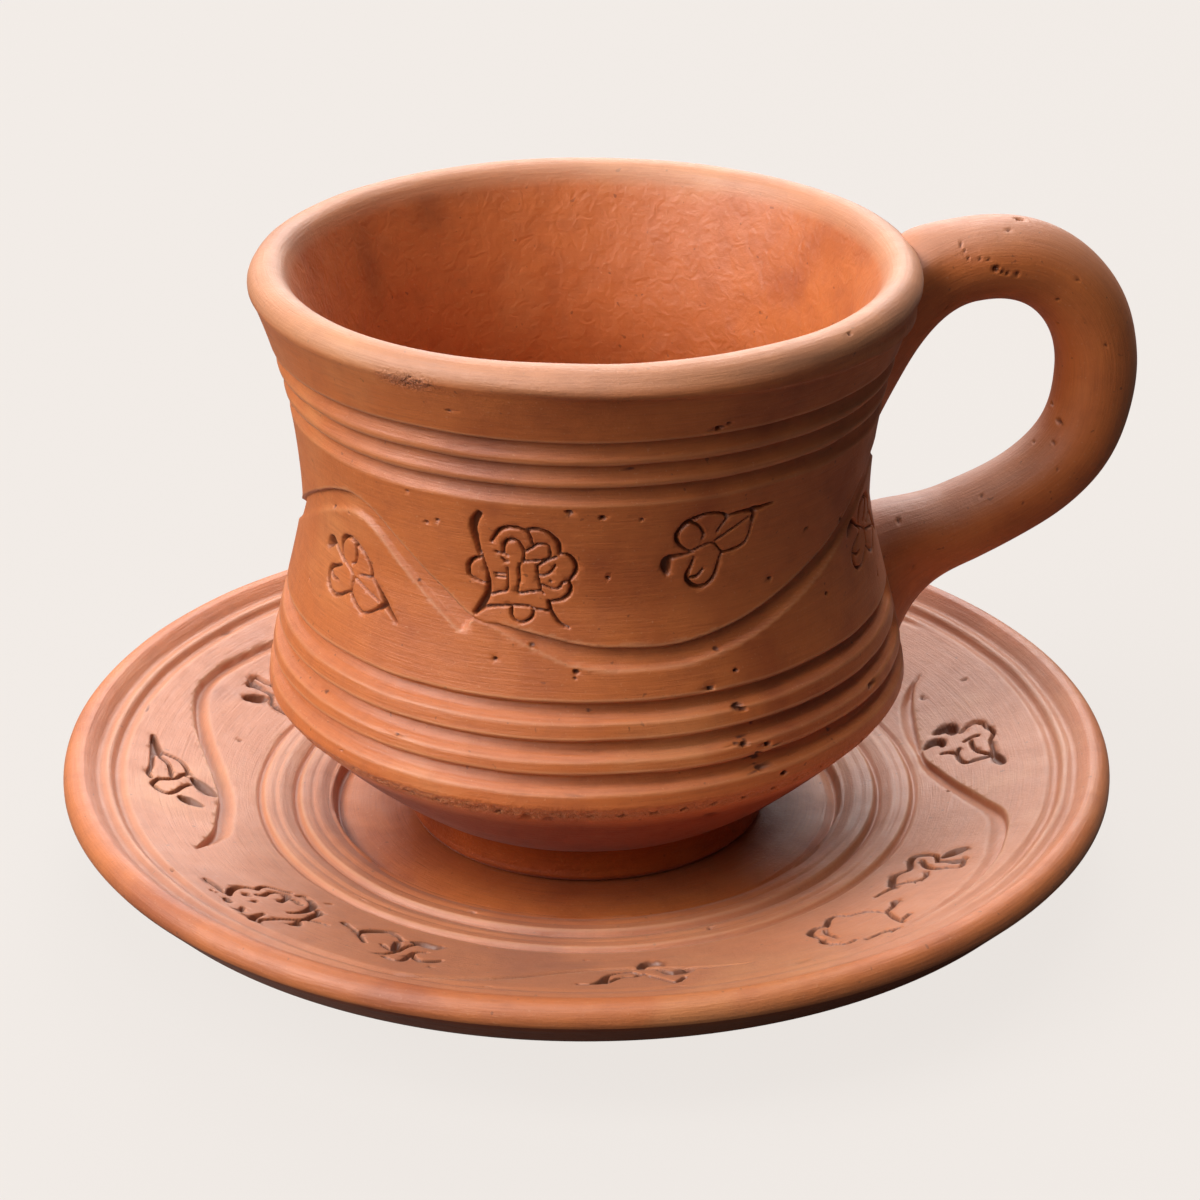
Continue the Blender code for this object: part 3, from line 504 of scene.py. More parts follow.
# Vines on the saucer: degrees past the pointed start, radius of the sharp outer edge, width
RIGHT_VINE = (
    (0, 57.0, 0.2), (2.2, 54.4, 1.1), (5.2, 52.3, 1.9), (9.4, 50.6, 2.1), (14.4, 49.3, 1.8),
    (20.5, 48.4, 0.9), (22.5, 48.4, 1.0), (27.8, 49.8, 1.9), (34.8, 52.6, 2.0), (40.5, 55.9, 2.2),
    (44.5, 58.8, 2.6), (49.2, 60.4, 2.6), (53.6, 61.3, 2.4), (58, 62.2, 2.0), (65, 63.0, 1.6),
    (75, 63.4, 1.0), (79, 63.3, 0.3),
)
LEFT_VINE = (
    (0, 58.3, 0.3), (2.5, 56.4, 1.6), (5.2, 54.6, 2.4), (12.5, 52.3, 2.4), (17.7, 51.6, 2.2),
    (24, 52.4, 2.2), (30.2, 54.2, 2.2), (35.8, 56.5, 2.2), (41.3, 58.7, 2.0), (46, 60.3, 2.0),
    (50.3, 60.8, 2.0), (55.1, 60.4, 2.0), (62, 59.7, 1.8), (76, 58.0, 0.3),
)
FRONT_VINE = (
    (0, 59.0, 0.3), (6, 57.4, 0.9), (13.5, 55.4, 1.1), (18, 55.3, 1.2), (23, 56.7, 1.4), (28, 59.7, 1.4),
    (33, 62.4, 1.3), (37.5, 64.1, 1.0), (42, 65.2, 0.4),
)
SAUCER_VINES = (
    (RIGHT_VINE, 19.0, 1.05), (LEFT_VINE, 197.0, 1.15), (RIGHT_VINE, 105.0, 1.05), (FRONT_VINE, -79.5, 0.75),
)
VINE_WIDTH = 2.4
VINE_FADE = (48.0, 66.0, 0.4)
# Painted shade on the floor of the front vine, which is also rough
VINE_SHADE = 0.45
VINE_FULL = 1.6
VINE_FLOOR_START = (0.0, 0.3)
VINE_FLOOR_END = (0.6, 1.0)

# Dust with painted sheen on lip, handle and dish; painted shade inside, underneath and in the well; rough
# foot; rim with less dust
LIP_DUST_AND_SHEEN = 0.25
HANDLE_DUST_AND_SHEEN = 0.4
DISH_DUST_AND_SHEEN = 0.32
INSIDE_SHADE = 0.4
WELL_SHADE = 0.9
UNDER_SHADE = 0.9
FOOT_ROUGH = 0.3
RIM_DUST_AND_SHEEN_DROP = 0.7

# Where those tones change, from and to: heights on the cup, radii on the saucer, tilt on the handle
LIP_DUST_AND_SHEEN_SPAN = (LIP_HEIGHT - 1.2, LIP_HEIGHT + 1.4)
# Span where the lip's top is made paler, a painted highlight
LIP_HIGHLIGHT_SPAN = (LIP_HEIGHT - 1.0, LIP_HEIGHT + 1.0)
INSIDE_SPAN = (45.0, 75.0)
CONE_SPAN = (EDGE_HEIGHT - 3.5, EDGE_HEIGHT + 0.2)
WELL_SPAN = (25.0, 34.5)
DISH_SPAN = (34.0, 42.0)
RIM_SPAN = (RIM_FOOT_RADIUS, RIM_FOOT_RADIUS + 2.5)
UNDER_BELOW = SAUCER_TOP - RIM_ROUND - RIM_SIDE + 0.05
HANDLE_DUST_AND_SHEEN_SPAN = (0.1, 0.9)

# Layers that the meshes store for the clay, beside the flow of the turning
# First layer: painted shade in cuts, pits and creases, and darker patches inside the cup
# Last layer: dust with painted sheen above 0, painted shade below 0
LAYERS = ("hollow", "crest", "rough", "dabbed", "tone")
FLOW_ALONG = 0.05
CREST_REACH = 0.5
CREST_FULL = 0.4

# Chips and crumbs on the edge of the belly
CHIP_RISE = 0.7
CHIP_SPREAD = 1.3
CHIP_SHARE = 0.15
CHIP_DEPTH = 0.34
CRUMB_LEVEL = 0.75
CRUMB_SWING = 0.6

# Crisp lower edge of the lip at the right: azimuth of its middle, reach, height, fall per degree, step
LIP_EDGE = (-62.0, 60.0, 81.8, 0.04, 0.65)
LIP_EDGE_FULL = 0.6
LIP_EDGE_STEP = (-0.3, 0.3)
LIP_EDGE_BACK = (0.4, 2.4)

# Rough patch on the lip at the front left: azimuth, reach in degrees, height, reach in millimetres
LIP_WORN = (-129.5, 4.5, 83.2, 1.1)
LIP_WORN_ROUGH = 1.8

# Darker patches inside the cup: azimuth, height, width in degrees, height in millimetres, strength
INSIDE_DARK_PATCHES = (
    (135.5, 77.0, 3.5, 7.0, 0.45), (116.0, 82.0, 4.0, 2.5, 0.45), (107.0, 84.0, 8.0, 1.5, 0.25),
)

# Pits seen in the clay of the cup: azimuth, height, radius
CUP_PITS = (
    (-72.3, 38.8, 0.75), (-71.4, 38.3, 0.5), (-71.9, 33.8, 0.55), (-67.3, 33.1, 0.5), (-68.8, 31.6, 0.6),
    (-69.0, 30.2, 0.75), (-64.3, 28.6, 0.55), (-38.7, 33.6, 0.6), (-29.6, 41.0, 0.5), (-42.9, 26.8, 0.5),
    (-62.4, 53.6, 0.35), (-47.1, 48.4, 0.35), (-41.1, 57.2, 0.4), (-68.9, 36.0, 0.35), (-102.7, 66.5, 0.4),
    (-96.8, 65.7, 0.45), (-95.8, 57.3, 0.35), (-101.7, 45.2, 0.4), (-109.9, 48.2, 0.4), (-75.2, 46.4, 0.45),
    (-71.9, 43.3, 0.4), (-77.3, 41.8, 0.4), (-99.4, 40.2, 0.3), (-130.5, 62.7, 0.35), (-128.1, 63.4, 0.3),
    (-116.6, 46.1, 0.3), (-89.7, 65.2, 0.3), (-48.5, 25.5, 0.45), (-77.0, 77.3, 0.5), (-75.5, 77.8, 0.35),
    (-138.1, 26.6, 0.45), (-131.6, 26.3, 0.5), (-126.3, 26.1, 0.4), (-124.5, 25.4, 0.4),
    (-115.1, 26.0, 0.4), (-109.9, 25.8, 0.5), (-105.9, 25.5, 0.4), (-101.5, 25.1, 0.45), (-99.0, 26.2, 0.4),
    (-93.8, 26.1, 0.5), (-88.2, 26.2, 0.45), (-83.0, 26.3, 0.5), (-77.8, 26.4, 0.45), (-71.9, 26.3, 0.4),
    (-66.0, 26.5, 0.4), (-61.0, 26.7, 0.4), (-55.0, 26.6, 0.35), (-134.3, 34.0, 0.3), (-75.9, 22.8, 0.35),
    (-51.6, 85.8, 0.2),
)

# Pits seen in the saucer: azimuth, distance from the axis, radius
SAUCER_PITS = (
    (-122.6, 38.7, 0.5), (-63.5, 68.9, 0.5), (-98.0, 68.7, 0.45), (-72.0, 67.4, 0.35), (-150.0, 62.0, 0.3),
    (-100.0, 50.0, 0.3), (12.0, 60.0, 0.3),
)

# Form of every pit: depth, reach, squash, roughness, sides in radii, and share of the depth per radius
PIT_DEPTH = 0.9
PIT_REACH = 3.0
PIT_SQUASH = 1.3
PIT_ROUGH = 0.45
PIT_SIDE = (0.55, 1.05)
PIT_FULL = 1.8

# Loose pits: seed, count, lowest and highest level, smallest and largest radius
LOOSE_CUP_PITS = (11, 40, 28, 80, 0.18, 0.34)
LOOSE_SAUCER_PITS = (12, 40, 37, 66, 0.18, 0.36)
LOOSE_HANDLE_PITS = (15, 18, 0, 180, 0.16, 0.26)

# Crowded pits on the cup: seed, count, azimuth, height, spread of both, smallest and largest radius
CROWDED_PITS = (
    (21, 9, -129.5, 83.2, 2.8, 0.5, 0.12, 0.2), (22, 9, -69.0, 31.0, 0.6, 0.9, 0.25, 0.45),
    (23, 6, -72, 34, 0.6, 0.5, 0.2, 0.35),
)


def sampled(motif, thinnest):
    """Every stroke of a motif as many points, each with the half width of the cut there."""
    made = [through(stroke) for stroke in motif]
    for line in made:
        line[:, 2] = np.maximum(line[:, 2] + STROKE_WIDEN, thinnest) / 2
    return made


CUP_CARVING = tuple((sampled(motif, STROKE_THINNEST), *place) for motif, *place in CUP_PLACES)
SAUCER_CARVING = tuple(
    (sampled(motif, SAUCER_STROKE_THINNEST), at, -radius, 0.0) for motif, at, radius in SAUCER_PLACES
)


def stroke_distance(u, v, line):
    """Distance from each point to a stroke's middle, in half widths of the stroke, and that half width."""
    best = np.full(len(u), FAR)
    half = np.ones(len(u))
    for start, end in zip(line, line[1:]):
        along = end - start
        share = (u - start[0]) * along[0] + (v - start[1]) * along[1]
        share = np.clip(share / max(along[:2] @ along[:2], TINY), 0.0, 1.0)
        wide = start[2] + share * along[2]
        gap = np.hypot(u - start[0] - share * along[0], v - start[1] - share * along[1]) / wide
        half = np.where(gap < best, wide, half)
        best = np.minimum(best, gap)
    return best, half


def uncut(count):
    """No depth, no darkness and no edge near, at so many points."""
    return np.zeros(count), np.zeros(count), np.full(count, FAR)


def cut_into(cuts, spots, *added):
    """Adds a cut: each spot keeps the deepest, the darkest and the nearest edge."""
    for kept, new, choose in zip(cuts, added, (np.maximum, np.maximum, np.minimum)):
        kept[spots] = choose(kept[spots], new)


def carved(azimuth, across, radius, places, shade_edge):
    """Depth of the carved motifs, their painted shade, and the distance to the nearest stroke's edge."""
    cuts = uncut(len(azimuth))
    shallow, deepening = STROKE_SHALLOW
    for strokes, at, level, turn in places:
        u = arc_from(azimuth, at, radius)
        v = across - level
        inside = np.flatnonzero((np.abs(u) < STROKE_REACH) & (np.abs(v) < STROKE_REACH))
        cosine = math.cos(math.radians(turn))
        sine = math.sin(math.radians(turn))
        local_u = u[inside] * cosine + v[inside] * sine
        local_v = v[inside] * cosine - u[inside] * sine
        for line in strokes:
            low = line.min(axis=0) - STROKE_MARGIN
            high = line.max(axis=0) + STROKE_MARGIN
            close = (local_u > low[0]) & (local_u < high[0]) & (local_v > low[1]) & (local_v < high[1])
            if not close.any():
                continue
            gap, half = stroke_distance(local_u[close], local_v[close], line)
            deep = STROKE_DEPTH * np.minimum(1.0, shallow + deepening * half)
            groove = deep * (1.0 - smoothstep(*STROKE_SIDE, gap))
            groove += STROKE_ROUND * (1.0 - smoothstep(*STROKE_SHOULDER, gap))
            # Painted shade in the cut, fading out past its edge
            recess_shade = 1.0 - smoothstep(shade_edge, shade_edge + STROKE_SHADE_FADE, gap)
            cut_into(cuts, inside[close], groove, recess_shade, (gap - 1.0) * half)
    return cuts


def pitted(azimuth, across, radius, pits, rough):
    """Depth of the pits, their painted shade, and the distance to the nearest one's edge."""
    cuts = uncut(len(azimuth))
    for at, level, size in pits:
        aside = arc_from(azimuth, at, radius)
        close = np.flatnonzero((np.abs(across - level) < PIT_REACH) & (np.abs(aside) < PIT_REACH))
        gap = np.hypot(aside[close], PIT_SQUASH * (across[close] - level))
        gap = gap * (1.0 + PIT_ROUGH * rough[close])
        hole = 1.0 - smoothstep(*PIT_SIDE, gap / size)
        # The pit's hole also sets its painted shade
        cut_into(cuts, close, PIT_DEPTH * min(1.0, PIT_FULL * size) * hole, hole, gap - size)
    return cuts


def scattered(seed, count, low, high, small, large):
    """Seeded random pits between two levels."""
    draw = np.random.default_rng(seed).uniform
    return tuple((draw(-180, 180), draw(low, high), draw(small, large)) for _ in range(count))


def crowded(seed, count, azimuth, height, wide, tall, small, large):
    """Seeded random pits crowded round one place."""
    dice = np.random.default_rng(seed)
    return tuple(
        (dice.normal(azimuth, wide), dice.normal(height, tall), dice.uniform(small, large))
        for _ in range(count)
    )


ALL_CUP_PITS = sum((crowded(*pits) for pits in CROWDED_PITS), CUP_PITS + scattered(*LOOSE_CUP_PITS))
ALL_SAUCER_PITS = SAUCER_PITS + scattered(*LOOSE_SAUCER_PITS)


def root_nearness(azimuth, height):
    """1 and less inside the footprint of either end of the handle on the cup's wall, more outside."""
    side = arc_from(azimuth, 0.0, WAIST_RADIUS) / ROOT_HALF_WIDTH
    near = np.full(len(azimuth), FAR)
    for level, up, down, tilt in (UPPER_ROOT, LOWER_ROOT):
        rise = np.where(height > level, (height - level) / up, (level - height) / down)
        near = np.minimum(near, np.hypot(side, rise))
    return near


def wave_gap(azimuth, height):
    """Distance below the wave's upper edge, square to it, and the wave's share of its full width there."""
    past = np.mod(azimuth - CUP_WAVE_START, 360.0)
    edge, slope = curve_height(past, CUP_WAVE)
    slope = slope / (math.radians(1) * WAIST_RADIUS)
    below = (edge - height) / np.sqrt(1 + slope**2)
    ahead = past + CUP_WAVE_SLANT * np.clip(below, 0.0, CUP_WAVE_WIDTH)
    share = np.ones(len(azimuth))
    after, thin = CUP_WAVE_NARROWS
    for tip in CUP_WAVE_TIPS:
        share = np.minimum(share, np.where(ahead < tip, 1.0, np.maximum((past - tip) / after, thin)))
    return below, share


def wave_cut(azimuth, below):
    """Depth of the wave: a sharp upper edge, a floor that slopes out, and a crisp lower edge."""
    past = np.mod(azimuth - CUP_WAVE_START, 360.0)
    deep = CUP_WAVE_DEPTH * np.interp(past, *np.array(CUP_WAVE_SIDES).T)
    floor = 1.0 - (1.0 - CUP_WAVE_LOWER) * np.clip(below / CUP_WAVE_WIDTH, 0.0, 1.0)
    end = 1.0 - smoothstep(CUP_WAVE_WIDTH - CUP_WAVE_STEP, CUP_WAVE_WIDTH + CUP_WAVE_END, below)
    return deep * smoothstep(0.0, CUP_WAVE_STEP, below) * floor * end


def cup_turning(azimuth, height, waver):
    """Depth of the turned rings and the wavy groove at points of the cup's wall."""
    depth = np.zeros(len(azimuth))
    for edge in UPPER_RINGS:
        depth += cove(edge - height + waver, UPPER_RING_DEPTH, UPPER_RING_WIDTH)
    for edge in LOWER_RINGS:
        depth += cove(edge - height + waver, LOWER_RING_DEPTH, LOWER_RING_WIDTH)
        depth += SCORE_DEPTH * line_shape((edge - SCORE_DROP - height + waver) / SCORE_HALF_WIDTH)
    below, share = wave_gap(azimuth, height)
    wave = np.minimum(1.0, CUP_WAVE_FULL * share) * wave_cut(azimuth, (below + waver) / share)
    return np.maximum(depth, wave) * smoothstep(*ROOT_CLEAR, root_nearness(azimuth, height))


def vine_gap(azimuth, radius, knots, start):
    """Distance inside a vine's outer edge, square to it, and its share of the full width and depth."""
    past = np.mod(start - azimuth, 360.0)
    knots = np.array(knots)
    edge, slope = curve_height(past, knots[:, :2])
    slope = slope / (math.radians(1) * edge)
    gap = (edge - radius) / np.sqrt(1 + slope**2)
    share = np.interp(past, knots[:, 0], knots[:, 2]) / VINE_WIDTH
    fade_from, fade_to, fade = VINE_FADE
    strength = np.minimum(1.0, VINE_FULL * share) * (1.0 - fade * smoothstep(fade_from, fade_to, past))
    return gap, share, strength * (past < knots[-1, 0])


def saucer_turning(azimuth, radius, waver):
    """Depth of the saucer's lines and vines, less the height of its rounded rings."""
    depth = -np.interp(radius + waver - WELL_RADIUS, *np.array(RING_RISE).T, left=0.0)
    front, reach, lost, inner = LINE_FADE
    faded = 1.0 - lost * bell(degrees_from(azimuth, front), reach) * (radius > inner)
    for at, deep, half in SAUCER_LINES:
        depth += deep * faded * line_shape((radius + waver - at) / half)
    vine = np.zeros(len(azimuth))
    for knots, start, deep in SAUCER_VINES:
        gap, share, strength = vine_gap(azimuth, radius, knots, start)
        vine = np.maximum(vine, strength * cove((gap + waver) / share, deep, VINE_WIDTH))
    return depth + vine


def crests(turning, azimuth, across, waver, depth):
    """How far the turned clay stands out from what lies a little to either side of it."""
    beside = sum(turning(azimuth, across + step, waver) for step in (CREST_REACH, -CREST_REACH))
    return (beside / 2 - depth) / CREST_FULL


def lip_edge(azimuth, height):
    """Height of the crisp lower edge that the lip has on its right side."""
    right, reach, level, drop, step = LIP_EDGE
    aside = degrees_from(azimuth, right)
    over = height - (level - drop * aside)
    share = 1.0 - smoothstep(LIP_EDGE_FULL * reach, reach, np.abs(aside))
    return step * share * smoothstep(*LIP_EDGE_STEP, over) * (1.0 - smoothstep(*LIP_EDGE_BACK, over))


def inside_darkening(azimuth, height):
    """How much darker the patches inside the cup are."""
    dark = np.zeros(len(azimuth))
    for at, level, wide, tall, strength in INSIDE_DARK_PATCHES:
        dark += strength * bell(degrees_from(azimuth, at), wide) * bell(height - level, tall)
    return dark


def clay_layers(count, **given):
    """Every layer that the clay reads at so many points, 0 where it isn't given."""
    return {layer: given.get(layer, np.zeros(count)) for layer in LAYERS}


def cup_relief(azimuth, radius, height, kind, points):
    """Height of the cup's surface over the plain turned wall, and its layers for the clay."""
    outer = np.clip(kind, 0.0, 1.0)
    inner = np.clip(-kind, 0.0, 1.0)
    waver = lumps(points, *CUP_WAVER)
    depth = cup_turning(azimuth, height, waver)
    cut, recess_shade = carved(azimuth, height, WAIST_RADIUS, CUP_CARVING, STROKE_SHADE_EDGE)[:2]
    pit, pit_shade = pitted(azimuth, height, WAIST_RADIUS, ALL_CUP_PITS, lumps(points, *PIT_GRAIN))[:2]
    grain = lumps(points, *CRUMB_GRAIN)
    edge = bell(height - EDGE_HEIGHT - CHIP_RISE, CHIP_SPREAD)
    chips = edge * np.clip(grain + CHIP_SHARE, 0.0, 1.0) * CHIP_DEPTH
    rise = lip_edge(azimuth, height) - np.maximum(np.maximum(depth, cut), pit) - chips
    below, share = wave_gap(azimuth, height)
    crease_below, crease_reach, crease_shade = CUP_WAVE_CREASE
    crease = crease_shade * bell(below - crease_below, crease_reach) * np.minimum(1.0, 2 * share)
    # Painted shade in cut strokes, the wave's crease and pits; darker patches inside
    hollow = np.maximum(np.maximum(STROKE_SHADE * recess_shade, crease), pit_shade) * outer
    hollow = hollow + inside_darkening(azimuth, height) * inner
    # Painted shade lower inside and on the cone under the belly; dust with painted sheen on the lip
    inside = INSIDE_SHADE * (1.0 - smoothstep(*INSIDE_SPAN, height))
    tone = LIP_DUST_AND_SHEEN * smoothstep(*LIP_DUST_AND_SHEEN_SPAN, height)
    tone -= np.where(kind < 0, inside, 1.0 - smoothstep(*CONE_SPAN, height))
    worn_at, worn_reach, worn_height, worn_tall = LIP_WORN
    worn = bell(degrees_from(azimuth, worn_at), worn_reach) * bell(height - worn_height, worn_tall)
    rough = np.maximum(edge, LIP_WORN_ROUGH * worn) * outer
    crumbs = np.clip(CRUMB_LEVEL + CRUMB_SWING * grain, 0.0, 1.0) * edge
    # Ridges are made paler, wear with a painted highlight, hollows darker, a painted shade; crumbs are paler
    # clay
    crest = np.maximum(crests(cup_turning, azimuth, height, waver, depth), crumbs) * outer
    # The lip's top is made paler, a painted highlight
    crest = np.maximum(crest, smoothstep(*LIP_HIGHLIGHT_SPAN, height))
    uneven = lumps(points, *CUP_UNEVEN) * (1 - inner) + lumps(points, *INSIDE_DABS) * inner
    layers = clay_layers(len(kind), hollow=hollow, crest=crest, rough=rough, dabbed=inner, tone=tone)
    return rise * outer + uneven, layers


def saucer_relief(azimuth, radius, height, kind, points):
    """Height of the saucer's surface over its plain dish, and its layers for the clay."""
    waver = lumps(points, *SAUCER_WAVER)
    depth = saucer_turning(azimuth, radius, waver)
    # Ridges are made paler, wear with a painted highlight, hollows darker, a painted shade
    crest = crests(saucer_turning, azimuth, radius, waver, depth)
    cut, recess_shade = carved(azimuth, -radius, BAND_MIDDLE, SAUCER_CARVING, SAUCER_STROKE_SHADE_EDGE)[:2]
    pit, pit_shade = pitted(azimuth, radius, BAND_MIDDLE, ALL_SAUCER_PITS, lumps(points, *PIT_GRAIN))[:2]
    # The front vine's floor: rough, and darkened with a painted shade
    gap, share, strength = vine_gap(azimuth, radius, *SAUCER_VINES[-1][:2])
    vine_floor = 1.0 - smoothstep(*VINE_FLOOR_END, gap / (VINE_WIDTH * share))
    vine_floor = strength * smoothstep(*VINE_FLOOR_START, gap) * vine_floor
    # Painted shade in cut strokes, pits and the front vine
    hollow = np.maximum(np.maximum(STROKE_SHADE * recess_shade, pit_shade), VINE_SHADE * vine_floor)
    # Painted shade in the well and under the saucer; dust with painted sheen on the dish, less on the rim
    tone = WELL_SHADE * (smoothstep(*WELL_SPAN, radius) - 1.0) + DISH_DUST_AND_SHEEN * smoothstep(*DISH_SPAN, radius)
    tone = tone * (1.0 - RIM_DUST_AND_SHEEN_DROP * smoothstep(*RIM_SPAN, radius))
    under = (kind < PLAIN_KIND) & (radius > WELL_RADIUS) & (height < UNDER_BELOW)
    tone = np.where(under, -UNDER_SHADE, tone)
    layers = clay_layers(len(kind), hollow=hollow * kind, crest=crest * kind, rough=vine_floor * kind, tone=tone)
    return (lumps(points, *SAUCER_UNEVEN) - np.maximum(cut, pit) - depth) * kind, layers


def foot_relief(azimuth, radius, height, kind, points):
    """Uneven, hand-wiped surface of the foot ring."""
    # The whole foot is darkened with painted shade
    layers = clay_layers(len(kind), rough=FOOT_ROUGH * kind, tone=np.full(len(kind), -1.0))
    return lumps(points, *FOOT_UNEVEN) * kind, layers


def on_front(azimuth):
    """Whether a place is on the side that has the finest cells."""
    return np.cos(np.radians(azimuth - FRONT_AZIMUTH)) > FRONT_REACH


def at_crease(gap):
    """Whether a place is at the sharp edge of the wave or a vine."""
    inside, reach = NEAR_CREASE
    return np.abs(gap - inside) < reach


def split_parts(azimuth, fine, coarse):
    """How many parts each cell of a row is split into, 0 where it stays whole."""
    return np.where(fine & on_front(azimuth), SPLIT, np.where(fine | coarse, SPLIT // 2, 0))


def cup_detail(azimuth, radius, height):
    """How many parts each cell of a carved row of the cup is split into."""
    level = np.full(len(azimuth), height)
    stroke = carved(azimuth, level, WAIST_RADIUS, CUP_CARVING, STROKE_SHADE_EDGE)[2]
    pit = pitted(azimuth, level, WAIST_RADIUS, ALL_CUP_PITS, 0 * level)[2]
    below, share = wave_gap(azimuth, level)
    wave = (below > -NEAR_WAVE[0]) & (below < CUP_WAVE_WIDTH * share + NEAR_WAVE[1])
    over, reach = NEAR_BELLY_EDGE
    edge = (np.abs(level - EDGE_HEIGHT - over) < reach) & on_front(azimuth)
    return split_parts(azimuth, (stroke < NEAR_STROKE) | (pit < NEAR_PIT) | at_crease(below), wave | edge)


def saucer_detail(azimuth, radius, height):
    """How many parts each cell of a carved row of the saucer is split into."""
    level = np.full(len(azimuth), radius)
    stroke = carved(azimuth, -level, BAND_MIDDLE, SAUCER_CARVING, SAUCER_STROKE_SHADE_EDGE)[2]
    pit = pitted(azimuth, level, BAND_MIDDLE, ALL_SAUCER_PITS, 0 * level)[2]
    fine = (stroke < NEAR_STROKE) | (pit < NEAR_PIT)
    coarse = np.zeros(len(azimuth), bool)
    for knots, start, deep in SAUCER_VINES:
        gap, share, strength = vine_gap(azimuth, level, knots, start)
        fine |= at_crease(gap) & (strength > 0)
        coarse |= (gap > 0) & (gap < VINE_WIDTH * share + NEAR_VINE) & (strength > 0)
    return split_parts(azimuth, fine, coarse)


def arc_rows(angles, radius, height, reach, stride, kind):
    """Rows round part of a circle, with the kind as a function of the angle."""
    return [
        (radius + reach * math.cos(angle), height + reach * math.sin(angle), stride, kind(angle))
        for angle in angles
    ]


def straight_rows(shares, start, end, stride):
    """Plain rows at shares of a straight line."""
    run = end[0] - start[0]
    rise = end[1] - start[1]
    return [(start[0] + run * share, start[1] + rise * share, stride, 0) for share in shares]


# Turned profiles: rows of radius, height, lattice stride, and kind: 1 carved, 0 plain, -1 dabbed inside
CUP_STRIDES = (4, 8, 24, 120)
CUP_STEPS = ((0.35, 8), (0.24, 8), (0.62, 4), (0.25, 8), (0.32, 4))
RING_MARGINS = (0.7, 0.4)
FLOOR_RADII = (8.0, 14.0)
CUP_CORE = 10.0
SAUCER_STRIDES = (8, 16, 80)
SAUCER_STEPS = ((0.2, 8), (0.28, 8), (0.75, 4), (0.28, 8))
RIM_MARGINS = (3.7, 0.9)
RIM_BEVEL = 0.15
WELL_STEPS = (15.0, 22.0, 3.0)
SAUCER_CORE = 9.0
BASE_INNER = 20.0
FOOT_STRIDES = (3, 6)
FOOT_CARVED_OVER = -0.8
BEVEL = 0.5
HUB = 2.0


def cup_rows():
    fine, plain, wide, widest = CUP_STRIDES
    base = BODY_LOW.z
    bowl_top = FLOOR_HEIGHT + BOWL_DEPTH
    bowl_radius = float(wall_radius(bowl_top)) - WALL - BOWL_WIDTH
    lip_side = LIP_ROUND * math.sin(LIP_LEAN)
    rows = [(HUB, FLOOR_HEIGHT, widest, -1)]
    rows += [(radius, FLOOR_HEIGHT, wide, -1) for radius in FLOOR_RADII]
    for angle in np.radians(even(0, 90, 7)):
        radius = bowl_radius + BOWL_WIDTH * math.sin(angle)
        rows.append((radius, bowl_top - BOWL_DEPTH * math.cos(angle), plain, -1))
    for height in even(bowl_top, LIP_HEIGHT + lip_side, 1.5):
        rows.append((float(wall_radius(height)) - WALL, height, plain, -1))
    rows += arc_rows(
        even(math.pi - LIP_LEAN, -LIP_LEAN, 0.2), LIP_RADIUS - LIP_ROUND, LIP_HEIGHT, LIP_ROUND, plain,
        lambda angle: int(angle < LIP_CARVED_BELOW),
    )
    over, under = RING_MARGINS
    stops = (
        LIP_HEIGHT - lip_side, UPPER_RINGS[0] + over, UPPER_RINGS[-1] - UPPER_RING_WIDTH - under,
        LOWER_RINGS[0] + over, LOWER_RINGS[-1] - LOWER_RING_WIDTH - under, BELLY_HEIGHT,
    )
    for top, bottom, (step, stride) in zip(stops, stops[1:], CUP_STEPS):
        rows += [(float(wall_radius(height)), height, stride, 1) for height in even(top, bottom, step)]
    for share in even(0, 1, 0.16):
        radius = BELLY_RADIUS + (EDGE_RADIUS - BELLY_RADIUS) * share**EDGE_CURVE
        rows.append((radius, BELLY_HEIGHT + (EDGE_HEIGHT - BELLY_HEIGHT) * share, fine, 1))
    cone = ((EDGE_RADIUS, CONE_PULL[0], FOOT_RADIUS), (EDGE_HEIGHT, CONE_PULL[1], base))
    for share in even(0, 1, 0.04):
        rest = 1 - share
        spot = [rest**2 * start + 2 * rest * share * pull + share**2 * end for start, pull, end in cone]
        rows.append((*spot, plain, rest))
    rows += [(FOOT_RADIUS, base, plain, 0), (FOOT_RADIUS - BEVEL, base, plain, 0)]
    return rows + [(CUP_CORE, base, wide, 0), (HUB, base, widest, 0)]


def foot_rows():
    plain, wide = FOOT_STRIDES
    inner = FOOT_RADIUS - FOOT_WALL
    low = FOOT_LOW.z
    high = BODY_LOW.z - FOOT_JOINT
    rows = [(inner, high, wide, 0), (FOOT_RADIUS - 0.4, high, plain, 0)]
    rows.append((FOOT_RADIUS - 0.1, high - 0.1, plain, 0))
    for height in even(high - 0.4, low + FOOT_ROUND, 0.3):
        waist = FOOT_WAIST * math.sin(math.pi * (high - height) / (high - low))
        rows.append((FOOT_RADIUS - waist, height, plain, 1))
    rows += arc_rows(
        np.radians(even(0, -90, 18)), FOOT_RADIUS - FOOT_ROUND, low + FOOT_ROUND, FOOT_ROUND, plain,
        lambda angle: int(angle > FOOT_CARVED_OVER),
    )
    rows += [(FOOT_RADIUS - FOOT_ROUND, low, plain, 0), (inner + BEVEL, low, wide, 0)]
    return rows + [(inner, low + BEVEL, wide, 0), rows[0]]


